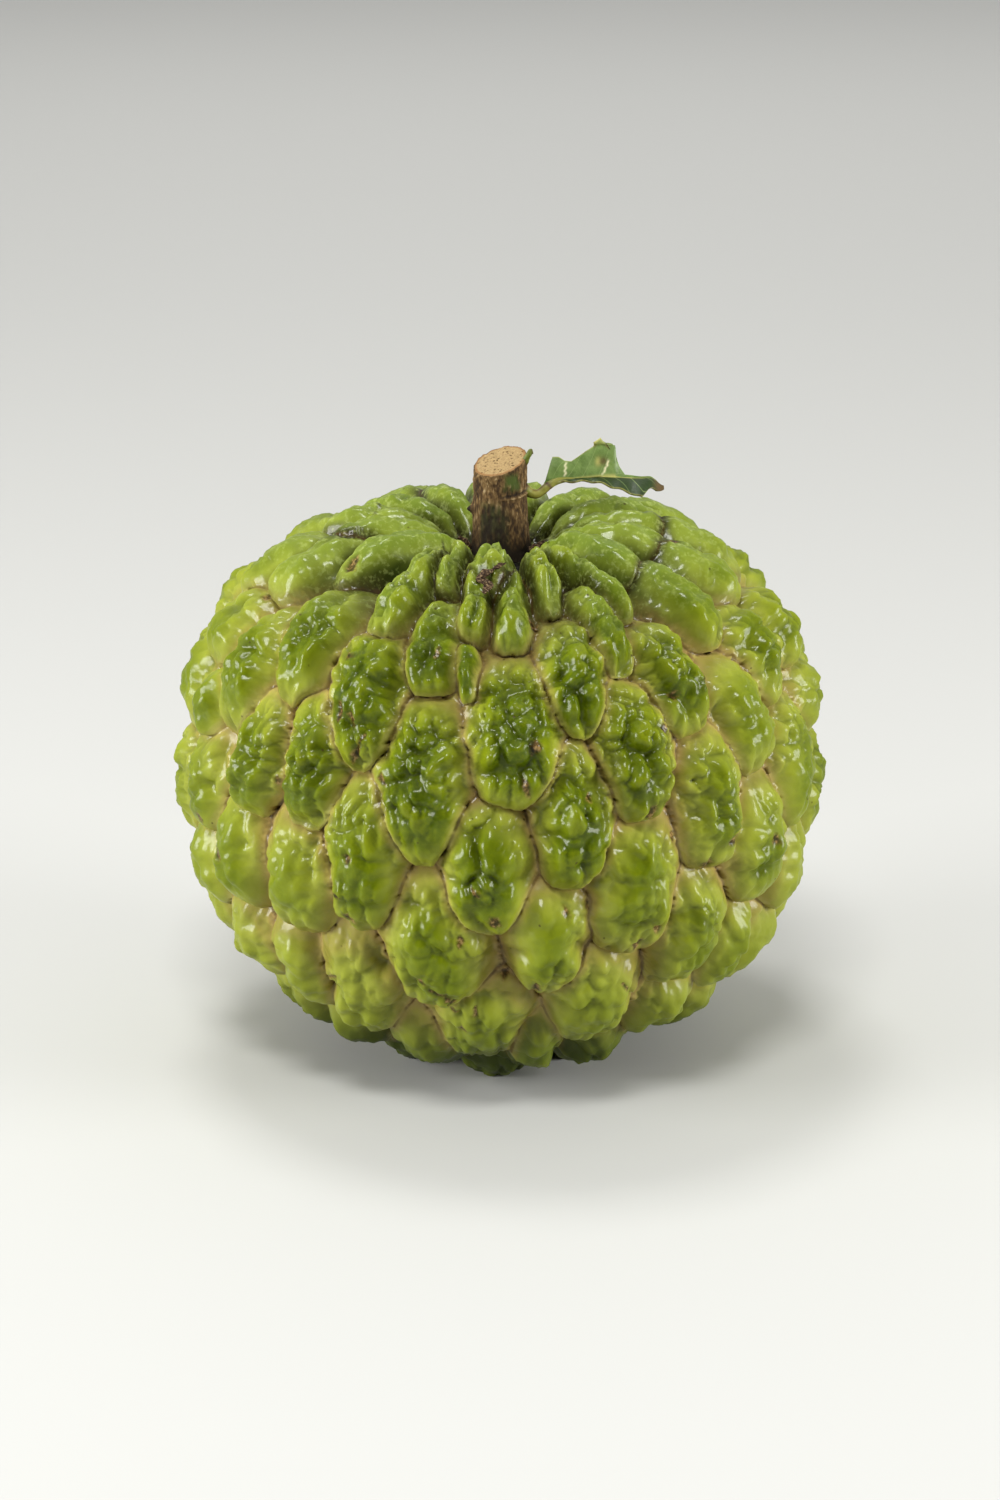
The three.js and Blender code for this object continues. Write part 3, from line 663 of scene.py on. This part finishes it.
def place_piece(form, name, points, node, material, masks):
    """Makes a piece of a form, with its vertices at points in mm about the fruit's axis. The masks
    say where its other colours lie, from 0 to 1."""
    for vertex, point in zip(form.verts, AXIS + points * MM):
        vertex.co = point
    mesh = bpy.data.meshes.new(name)
    form.to_mesh(mesh)
    form.free()
    mesh.shade_smooth()
    for label, values in masks.items():
        made = mesh.attributes.new(label, "FLOAT", "POINT")
        made.data.foreach_set("value", np.asarray(values, np.float32))
    mesh.materials.append(material)
    piece = bpy.data.objects.new(name, mesh)
    bpy.context.collection.objects.link(piece)
    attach(piece, "root")
    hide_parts(node)
    return piece


def pillar(sides, rings):
    """An upright cylinder of radius 1 and height 1, with rings of edges up its side."""
    form = bmesh.new()
    bmesh.ops.create_cone(form, cap_ends=True, segments=sides, radius1=1, radius2=1, depth=1)
    upright = [edge for edge in form.edges if edge.verts[0].co.z * edge.verts[1].co.z < 0]
    bmesh.ops.subdivide_edges(form, edges=upright, cuts=rings)
    return form


def fan_ends(form):
    """Splits each many-sided end of a pillar into triangles that meet in its middle."""
    bmesh.ops.poke(form, faces=[face for face in form.faces if len(face.verts) > 4])


form = pillar(BARK_SIDES, BARK_RINGS)
cut_face = [face for face in form.faces if len(face.verts) > 4 and face.calc_center_median().z > 0]
for _ in range(CUT_RINGS):
    bmesh.ops.inset_region(form, faces=cut_face, thickness=1 / (CUT_RINGS + 1))
fan_ends(form)
points = np.array([vertex.co for vertex in form.verts])
share = points[:, 2] + 0.5
radius = np.hypot(points[:, 0], points[:, 1])
turn = np.degrees(np.arctan2(points[:, 0], -points[:, 1]))
sides = np.stack([np.sin(np.radians(turn)), -np.cos(np.radians(turn)), 0 * turn], axis=-1)
height = STALK_FOOT + (STALK_TOP - STALK_FOOT) * share
upright = np.array([0, 0, 1])
rolled = sides * STALK_RADIUS + height[:, None] * upright

# Bark: fibres that run up it, the ring scar with a groove above it, the stub, and a chipped rim.
fibres = 0.8 * grain(rolled * (1, 1, 0.36), 0.3, 1) + 0.7 * grain(rolled * (1, 1, 0.4), 0.18, 2)
scarred = ease(turn, -10, 20) * ease(-turn, -130, -100)
scar = scarred * np.exp(-((height - RING_SCAR_HEIGHT) / 0.16) ** 2)
groove = scarred * np.exp(-((height - RING_SCAR_HEIGHT - 0.4) / 0.2) ** 2)
from_stub = np.hypot(np.radians(turn - STUB_TURN) * STALK_RADIUS, height - STUB_HEIGHT)
stub = np.exp(-(from_stub / 0.55) ** 2)
bark = 0.1 * fibres + 0.1 * grain(rolled, 1.6, 3) + 0.25 * scar - 0.12 * groove + 0.75 * stub
flare = (STALK_FLARE + 0.4 * grain(sides, 0.5, 7)) * (1 - share) ** 3
chipped = ease(grain(sides * 3, 0.6, 8), 0.25, 0.5) * ease(-turn, -10, 60) * ease(share, 0.97, 1.0)
bevel = 0.1 * ease(share, 0.985, 1.0) + 0.3 * chipped
reach = radius * (STALK_RADIUS + flare) + (bark - bevel) * radius ** 6
across = sides * reach[:, None]
cut = (share > 0.9999).astype(float)
rim = cut * ease(radius, 0.88, 1.0)
slant = across[:, 0] * math.tan(CUT_FALL_LEFT) + across[:, 1] * math.tan(CUT_FALL_FRONT)
height += slant * share ** 4 - 0.08 * rim
height += cut * (0.07 * grain(across, 0.5, 4) + 0.04 * grain(across, 0.25, 5))

green_patch = ease(turn, 0, 16) * ease(-turn, -56, -38)
green_patch = green_patch * ease(height, 78.4, 79.5) * ease(-height, -81.8, -80.5)
moss = ease(turn, -52, -34) * ease(-turn, -26, -4) * ease(-height, -78, -76)
# Darker round the twig stub, along the groove above the ring scar and towards the foot of the stalk.
darkened_parts = ease(-from_stub, -0.62, -0.4) + 0.9 * groove + 0.8 * ease(-height, -72.2, -70.2)
darkened_parts += 0.25 * ease(-height, -77, -73)
masks = {
    "fibre": 0.17 + 0.66 * ease(fibres + 0.4 * grain(rolled, 1.3, 9), -1.5, 1.7) + 0.3 * scar,
    "cut": cut * ease(-radius, -1.0, -0.97),
    "rim": cut * ease(radius, 0.86, 0.93) * ease(-radius, -1.01, -0.94),
    "green": np.maximum(green_patch, 0.8 * moss) * ease(grain(rolled * (1, 1, 0.4), 0.45, 6), -0.7, 0.5),
    "dark": np.clip(darkened_parts + 0.7 * moss * (1 - 0.3 * fibres) + chipped, 0, 1),
}

# Bark and cut wood: dry and matt. Pale fibres stand on dark brown, and the sawn end is straw
# coloured with clusters of brown pores, which are drawn larger than life so that they show.
wood = new_material("bark_and_cut_wood")
spot = add(wood, "TexCoord", out="Object")
stretched = add(wood, "Mapping", {"Vector": spot, "Scale": (1, 1, 0.35)})
strands = add(wood, "TexNoise", {
    "Vector": stretched, "Scale": 1 / (0.24 * MM), "Detail": 4, "Roughness": 0.7})
grainy = add(wood, "Math", {
    0: strands, 1: add(wood, "Attribute", out="Fac", attribute_name="fibre")}, operation="ADD")
halved = add(wood, "Math", {0: grainy, 1: 0.5}, operation="MULTIPLY")
tint = add(wood, "ValToRGB", {"Fac": halved}, stops=[
    (0.35, "#251808"), (0.46, "#483418"), (0.56, "#6c5430"), (0.69, "#9f8b65")])
pores = add(wood, "TexVoronoi", {"Vector": spot, "Scale": 1 / (0.5 * MM)})
clusters = add(wood, "TexNoise", {"Vector": spot, "Scale": 1 / (1.1 * MM), "Detail": 3})
specks = add(wood, "Math", {
    0: add(wood, "MapRange", {"Value": pores, 1: 0.42, 2: 0.26}),
    1: add(wood, "MapRange", {"Value": clusters, 1: 0.46, 2: 0.54})}, operation="MULTIPLY")
sawn = add(wood, "ValToRGB", {"Fac": strands}, stops=[(0.3, "#8a704a"), (0.7, "#b19868")])
sawn = add(wood, "Mix", {0: specks, 6: sawn, 7: colour("#5b4322")}, out=2, data_type="RGBA")
for label, over in [
        ("green", colour("#3e4b18")), ("dark", colour("#1d1406")),
        ("cut", sawn), ("rim", colour("#8a6238"))]:
    share = add(wood, "Attribute", out="Fac", attribute_name=label)
    tint = add(wood, "Mix", {0: share, 6: tint, 7: over}, out=2, data_type="RGBA")
relief = add(wood, "Bump", {"Strength": 0.8, "Distance": 0.25 * MM, "Height": strands})
surface = add(wood, "BsdfPrincipled", {
    "Base Color": tint, "Roughness": 0.85, "Normal": relief, "Specular IOR Level": 0.25})
add(wood, "OutputMaterial", {"Surface": surface})
place_piece(form, "woody_stalk", across + height[:, None] * upright, "stalk", wood, masks)

# ------------------------------------------------------------
# Bud. A little hook of soft green living bark, a shoot that hardly began. It grew out of the right
# shoulder of the stalk, level with the cut.
# ------------------------------------------------------------
BUD_PLACES = [
    (3.1, -0.7, 82.0), (3.5, -0.8, 82.7), (3.75, -0.9, 83.3), (4.1, -0.9, 83.8), (4.45, -0.9, 83.9)]
BUD_RADII = [0.5, 0.45, 0.38, 0.42, 0.3]


def bent(form, places, radii, flatness=1.0, facing=(0, 1, 0)):
    """Points of an upright pillar laid along the smooth curve through places in mm, with its
    radius at each, and flattened across the direction it faces."""
    points = np.array([vertex.co for vertex in form.verts])
    share = points[:, 2] + 0.5
    knots = np.array(places, float)
    knots = np.vstack([2 * knots[0] - knots[1], knots, 2 * knots[-1] - knots[-2]])
    spans = len(places) - 1
    span = np.minimum((share * spans).astype(int), spans - 1)
    t = (share * spans - span)[:, None]
    p0, p1, p2, p3 = (knots[span + step] for step in range(4))
    a, b, c = p2 - p0, 2 * p0 - 5 * p1 + 4 * p2 - p3, 3 * p1 - p0 - 3 * p2 + p3
    centre = p1 + 0.5 * (a * t + b * t ** 2 + c * t ** 3)
    ahead = unit(0.5 * (a + 2 * b * t + 3 * c * t ** 2))
    side = unit(np.cross(ahead, facing))
    front = np.cross(side, ahead)
    radius = np.interp(share, np.linspace(0, 1, len(radii)), radii)[:, None]
    return centre + radius * (points[:, :1] * side + flatness * points[:, 1:2] * front), share


form = pillar(20, 30)
fan_ends(form)
points, share = bent(form, BUD_PLACES, BUD_RADII, 0.7)
points = points + 0.07 * np.stack([grain(points, 0.5, seed) for seed in (1, 2, 3)], axis=-1)
masks = {"brown": ease(share, 0.75, 1.0) * 0.6 + ease(-share, -0.3, 0), "yellow": 0 * share}

# Young shoot skin: smooth and a little waxy, yellow green, with brown where it has dried.
shoot = new_material("green_shoot_skin")
spot = add(shoot, "TexCoord", out="Object")
speckle = add(shoot, "TexNoise", {
    "Vector": spot, "Scale": 1 / (0.5 * MM), "Detail": 3, "Roughness": 0.6})
tint = add(shoot, "ValToRGB", {"Fac": speckle}, stops=[(0.3, "#3e490f"), (0.7, "#636e20")])
for label, code in [("yellow", "#857e30"), ("brown", "#4a3418")]:
    share_of = add(shoot, "Attribute", out="Fac", attribute_name=label)
    tint = add(shoot, "Mix", {0: share_of, 6: tint, 7: colour(code)}, out=2, data_type="RGBA")
relief = add(shoot, "Bump", {"Strength": 0.5, "Distance": 0.15 * MM, "Height": speckle})
surface = add(shoot, "BsdfPrincipled", {
    "Base Color": tint, "Roughness": 0.5, "Normal": relief, "Specular IOR Level": 0.35})
add(shoot, "OutputMaterial", {"Surface": surface})
place_piece(form, "green_bud", points, "stalk_bud", shoot, masks)

# ------------------------------------------------------------
# Leaf stalk. It leaves the right side of the stalk, dips, and rises into the leaf's midrib, with
# a brown groove along its upper side and a scar where it kinks.
# ------------------------------------------------------------
LEAF_STALK_PLACES = [
    (3.2, 0.0, 78.5), (4.2, 0.1, 77.9), (5.2, 0.3, 77.8), (6.2, 0.6, 78.5), (7.4, 1.0, 79.2),
    (9.5, 1.7, 79.5), (12.5, 2.5, 79.35)]
LEAF_STALK_RADII = [0.85, 0.68, 0.62, 0.6, 0.5, 0.34, 0.22]
KINK = 0.56
form = pillar(32, 90)
fan_ends(form)
flat = np.array([vertex.co for vertex in form.verts])
points, share = bent(form, LEAF_STALK_PLACES, LEAF_STALK_RADII)
around = np.degrees(np.arctan2(flat[:, 0], flat[:, 1]))
bumps = [grain(points * (0.5, 1, 1), 0.5, seed) for seed in (1, 2, 3)]
points = points + 0.05 * np.stack(bumps, axis=-1)
groove = np.exp(-((np.abs(around) - 120) / 16) ** 2) * ease(share, 0.1, 0.2) * ease(-share, -0.6, -0.5)
kink_scar = 0.9 * np.exp(-((share - KINK) / 0.03) ** 2)
masks = {
    "brown": np.clip(0.8 * groove + kink_scar + ease(-share, -0.08, 0), 0, 1),
    "yellow": 0.5 + 0.4 * grain(points, 1.5, 4),
}
place_piece(form, "leaf_stem", points, "leaf_stalk", shoot, masks)

# ------------------------------------------------------------
# Leaf blade. A torn scrap of leaf folded along its midrib: the far half stands up to a curled
# peak, and the near half hangs down and runs out to a ragged brown tip.
# ------------------------------------------------------------
LEAF_START, LEAF_END = 5.9, 22.3
LEAF_THICKNESS = 0.28
STANDING_FOLD, HANGING_FOLD = 80, 197

# How far each half reaches from the midrib, as (place along the leaf, reach), and its two tears.
STANDING_EDGE = [
    (5.9, 0.1), (6.4, 1.5), (7.1, 3.6), (7.9, 3.3), (8.7, 2.6), (9.6, 2.5), (11.6, 3.8), (13.2, 4.6),
    (14.3, 5.2), (15.3, 5.8), (15.7, 5.2), (15.5, 3.4), (16.1, 1.6), (16.9, 0.35), (22.3, 0.15)]
HANGING_EDGE = [
    (5.9, 0.1), (9.0, 0.5), (12.0, 0.8), (13.5, 1.4), (15.0, 2.1), (17.0, 2.8), (18.6, 3.5), (19.3, 3.7),
    (20.0, 2.1), (20.6, 1.5), (21.3, 1.7), (21.8, 1.2), (22.3, 0.6)]
TEARS = [((8.9, 2.8), (8.75, 0.5)), ((14.6, 1.9), (13.9, 0.4))]
COLUMNS, LINES = 110, 40
form = bmesh.new()
bmesh.ops.create_grid(form, x_segments=COLUMNS, y_segments=LINES, size=1)
flat = np.array([vertex.co for vertex in form.verts])
along = LEAF_START + (LEAF_END - LEAF_START) * (flat[:, 0] + 1) / 2
across = np.abs(flat[:, 1])
standing = flat[:, 1] > 0
standing_edge = np.interp(along, *zip(*STANDING_EDGE))
wide = np.where(standing, standing_edge, np.interp(along, *zip(*HANGING_EDGE))) * across
hanging_fold = HANGING_FOLD + 14 * ease(along, 11, 20) * across
lift = np.radians(np.where(standing, STANDING_FOLD - 8 * across, hanging_fold))
rib_y = 0.7 + 0.24 * (along - LEAF_START)
rib_z = 78.7 + 0.75 * ease(along, 5.9, 9) - 0.4 * ease(along, 13, 20) - 1.3 * ease(along, 20.2, 22.3)
curl = ease(wide, 4.2, 5.4) * standing
points = np.stack([
    along - 1.7 * curl,
    rib_y + wide * np.cos(lift) - 1.1 * curl,
    rib_z + wide * np.sin(lift) - 0.25 * curl], axis=-1)
points[:, 2] += 0.12 * grain(points, 2.2, 1) * across
points[:, 1] += 0.3 * grain(points, 3.0, 2) * across
points[:, 2] += (~standing) * 0.12 * across * np.sin(along * 2.4)
torn = np.zeros(len(points))
for (top_x, top), (foot_x, foot) in TEARS:
    line = np.interp(wide, [foot, top], [foot_x, top_x]) + 0.08 * np.sin(9 * wide)
    torn += np.exp(-((along - line) / 0.13) ** 2) * ease(wide, foot - 0.2, foot + 0.2)
torn *= standing * ease(-wide, -2.6, -2.1)

# The tip and specks of the edge are dry, and so is a spot in the standing half, with a pale halo.
dry_edge = ease(grain(points, 0.5, 6), 0.2, 0.6) * ease(across, 0.9, 1) * 0.6
dry_spot = standing * 0.9 * np.exp(-(((along - 14.0) / 0.6) ** 2 + ((wide - 2.2) / 0.6) ** 2))
halo = standing * np.exp(-(((along - 13.3) / 0.4) ** 2 + ((wide - 2.2) / 0.6) ** 2))
pale_rib = ease(-across, -0.12, -0.02)
masks = {
    "brown": np.clip(ease(along, 20.4, 21.6) + dry_edge + dry_spot, 0, 1),
    "yellow": np.clip(pale_rib + 0.6 * ease(across, 0.95, 1.0) + 0.5 * curl + halo, 0, 1),
    "torn": np.clip(torn, 0, 1),
    "hanging_half_shade": (~standing).astype(float) * ease(across, 0.02, 0.1),
}
layer = form.loops.layers.uv.new("leaf")
for face in form.faces:
    for loop in face.loops:
        loop[layer].uv = (along[loop.vert.index], flat[loop.vert.index, 1])

# Leaf: a thin, half glossy green blade that lets some light through. Its midrib and slanting veins
# are paler, its hanging half is darkened with painted shade, and its tears show pale fibres.
leaf_green = new_material("leaf_green")
spot = add(leaf_green, "TexCoord", out="Object")
netting = add(leaf_green, "TexVoronoi", {
    "Vector": spot, "Scale": 1 / (0.6 * MM)}, feature="DISTANCE_TO_EDGE")
mottled = add(leaf_green, "TexNoise", {"Vector": spot, "Scale": 1 / (1.2 * MM), "Detail": 3})
tint = add(leaf_green, "ValToRGB", {"Fac": mottled}, stops=[(0.3, "#4d6327"), (0.7, "#6a8040")])
blade = add(leaf_green, "UVMap", uv_map="leaf")
along_blade = add(leaf_green, "SeparateXYZ", {0: blade}, out="X")
across_blade = add(leaf_green, "SeparateXYZ", {0: blade}, out="Y")
from_rib = add(leaf_green, "Math", {0: across_blade}, operation="ABSOLUTE")
steep = add(leaf_green, "Math", {0: from_rib, 1: -2.2}, operation="MULTIPLY")
slanted = add(leaf_green, "Math", {0: along_blade, 1: steep}, operation="ADD")
veins = add(leaf_green, "Math", {0: slanted, 1: 1.1}, operation="PINGPONG")
vein_share = add(leaf_green, "MapRange", {"Value": veins, 1: 0.09, 2: 0.03, 4: 0.7})
# Painted shade: the hanging half of the blade is darkened.
hanging_shade_share = add(leaf_green, "Attribute", out="Fac", attribute_name="hanging_half_shade")
tint = add(leaf_green, "Mix", {
    0: hanging_shade_share, 6: tint, 7: colour("#1e3006")}, out=2, data_type="RGBA")
tint = add(leaf_green, "Mix", {0: vein_share, 6: tint, 7: colour("#728449")}, out=2, data_type="RGBA")
for label, code in [("yellow", "#a09c55"), ("brown", "#4c3a14"), ("torn", "#cfc8a0")]:
    share_of = add(leaf_green, "Attribute", out="Fac", attribute_name=label)
    tint = add(leaf_green, "Mix", {0: share_of, 6: tint, 7: colour(code)}, out=2, data_type="RGBA")
relief = add(leaf_green, "Bump", {"Strength": 0.4, "Distance": 0.1 * MM, "Height": netting})
surface = add(leaf_green, "BsdfPrincipled", {
    "Base Color": tint, "Roughness": 0.45, "Normal": relief, "Specular IOR Level": 0.35,
    "Subsurface Weight": 0.15, "Subsurface Radius": (0.6, 1.0, 0.3), "Subsurface Scale": 0.6 * MM})
add(leaf_green, "OutputMaterial", {"Surface": surface})
leaf = place_piece(form, "leaf_blade_scrap", points, "leaf_blade", leaf_green, masks)
thick = leaf.modifiers.new("leaf thickness", "SOLIDIFY")
thick.thickness = LEAF_THICKNESS * MM
thick.offset = 0

# ------------------------------------------------------------
# Dried flower. Two curled brown sepals at the foot of the stalk, and the twisted remains of the
# flower's style on the carpels in front of it. They are dry, matt, fibrous scraps that cling there.
# ------------------------------------------------------------
dry = new_material("dried_flower")
spot = add(dry, "TexCoord", out="Object")
fibrous = add(dry, "TexNoise", {"Vector": spot, "Scale": 1 / (0.3 * MM), "Detail": 4, "Roughness": 0.65})
tint = add(dry, "ValToRGB", {"Fac": fibrous}, stops=[
    (0.35, "#140c06"), (0.52, "#3c2a1a"), (0.66, "#8f7a58")])
relief = add(dry, "Bump", {"Strength": 0.8, "Distance": 0.2 * MM, "Height": fibrous})
surface = add(dry, "BsdfPrincipled", {
    "Base Color": tint, "Roughness": 0.9, "Normal": relief, "Specular IOR Level": 0.2})
add(dry, "OutputMaterial", {"Surface": surface})


def dried_scrap(name, node, places, radii, flatness, facing=(0, 1, 0), crumple=0.12):
    """A crumpled scrap of dried flower along a line of places in mm."""
    form = pillar(20, 40)
    fan_ends(form)
    points, _ = bent(form, places, radii, flatness, facing)
    folds = [grain(points, 0.55, seed) + 0.5 * grain(points, 0.25, seed + 3) for seed in (1, 2, 3)]
    points = points + crumple * np.stack(folds, axis=-1)
    place_piece(form, name, points, node, dry, {})


dried_scrap("dried_sepal_left", "dried_sepal_left", [
    (-4.0, -1.5, 70.0), (-4.6, -1.7, 70.8), (-5.1, -1.8, 71.6), (-5.6, -1.8, 72.3)],
    [0.4, 0.8, 0.75, 0.3], flatness=0.4)
dried_scrap("dried_sepal_right", "dried_sepal_right", [
    (3.9, -2.2, 70.4), (4.7, -2.2, 70.7), (5.4, -2.1, 70.9), (6.2, -2.0, 71.5)],
    [0.5, 0.7, 0.7, 0.4], flatness=0.7)
style_places = [body_point(lon, lat) + lift * directions(lon, lat)[2] for lon, lat, lift in [
    (1.5, 59, 2.0), (-1.5, 58, 1.7), (-4, 57, 1.6), (-5.5, 55.5, 1.5), (-3, 54.3, 1.5), (-4, 52.5, 1.3)]]
dried_scrap("dried_style", "dried_style", style_places,
            [0.2, 0.45, 0.75, 0.6, 0.7, 0.3], flatness=0.45, facing=(0, 0, 1), crumple=0.2)

# ------------------------------------------------------------
# Studio. A wide sheet of white paper, a small soft key lamp above the front, a weaker one overhead,
# one on each side, two that light only the paper far off, and a camera that looks down on it.
# ------------------------------------------------------------
HALF_PAPER = 4
bpy.context.scene.view_settings.view_transform = "Standard"
form = bmesh.new()
bmesh.ops.create_grid(form, x_segments=1, y_segments=1, size=HALF_PAPER)
floor_mesh = bpy.data.meshes.new("floor")
form.to_mesh(floor_mesh)
form.free()
floor = bpy.data.objects.new("floor", floor_mesh)
bpy.context.collection.objects.link(floor)
pale = new_material("white_paper")
surface = add(pale, "BsdfPrincipled", {"Base Color": colour("#b6b6b2"), "Roughness": 0.9})
add(pale, "OutputMaterial", {"Surface": surface})
floor_mesh.materials.append(pale)

# The room is a white tent, nearly dark on the side where the front of the fruit faces.
world = bpy.data.worlds.new("studio")
world.use_nodes = True
world.node_tree.nodes.clear()
toward_back = add(world, "SeparateXYZ", {0: add(world, "TexCoord", out="Generated")}, out="Y")
glow = add(world, "MapRange", {"Value": toward_back, 1: -0.85, 2: 0.1, 3: 0.03, 4: 0.62},
           interpolation_type="SMOOTHSTEP")
sky = add(world, "Background", {"Color": (1, 1, 1, 1), "Strength": glow})
add(world, "OutputWorld", {"Surface": sky})
bpy.context.scene.world = world


def softbox(name, place, size, power, aim=(AXIS[0], AXIS[1], 0.04)):
    """A soft lamp. It faces the middle of the fruit where nothing else is said."""
    light = bpy.data.lights.new(name, "AREA")
    light.shape = "RECTANGLE"
    light.size, light.size_y = size
    light.energy = power
    lamp = bpy.data.objects.new(name, light)
    lamp.location = place
    lamp.rotation_euler = (Vector(aim) - Vector(place)).to_track_quat("-Z", "Y").to_euler()
    bpy.context.collection.objects.link(lamp)


softbox("key", (-0.06, -0.5, 0.78), (0.26, 0.16), 5.0)
softbox("top", (-0.1, 0.2, 0.85), (0.22, 0.2), 3.0)
softbox("left", (-0.62, -0.18, 0.17), (0.3, 0.28), 5.6)
softbox("right", (0.62, -0.18, 0.17), (0.3, 0.28), 4.8)
softbox("backdrop", (0, 0.85, 0.8), (1.6, 0.3), 5.5, aim=(0, 1.4, 0))
softbox("front_floor", (0, -1.0, 0.8), (2.4, 0.3), 7, aim=(0, -1.7, 0))

# The camera looks at the middle of the fruit, VIEW_HEIGHT mm up, from VIEW_DISTANCE mm away.
LENS = 85
VIEW_HEIGHT = 41.4
VIEW_ELEVATION = 18
VIEW_DISTANCE = 490
target = Vector(AXIS) + Vector((0, 0, VIEW_HEIGHT * MM))
angle = math.radians(VIEW_ELEVATION)
camera_data = bpy.data.cameras.new("camera")
camera_data.lens = LENS
camera = bpy.data.objects.new("camera", camera_data)
camera.location = target + VIEW_DISTANCE * MM * Vector((0, -math.cos(angle), math.sin(angle)))
camera.rotation_euler = (target - camera.location).to_track_quat("-Z", "Y").to_euler()
bpy.context.collection.objects.link(camera)
bpy.context.scene.camera = camera
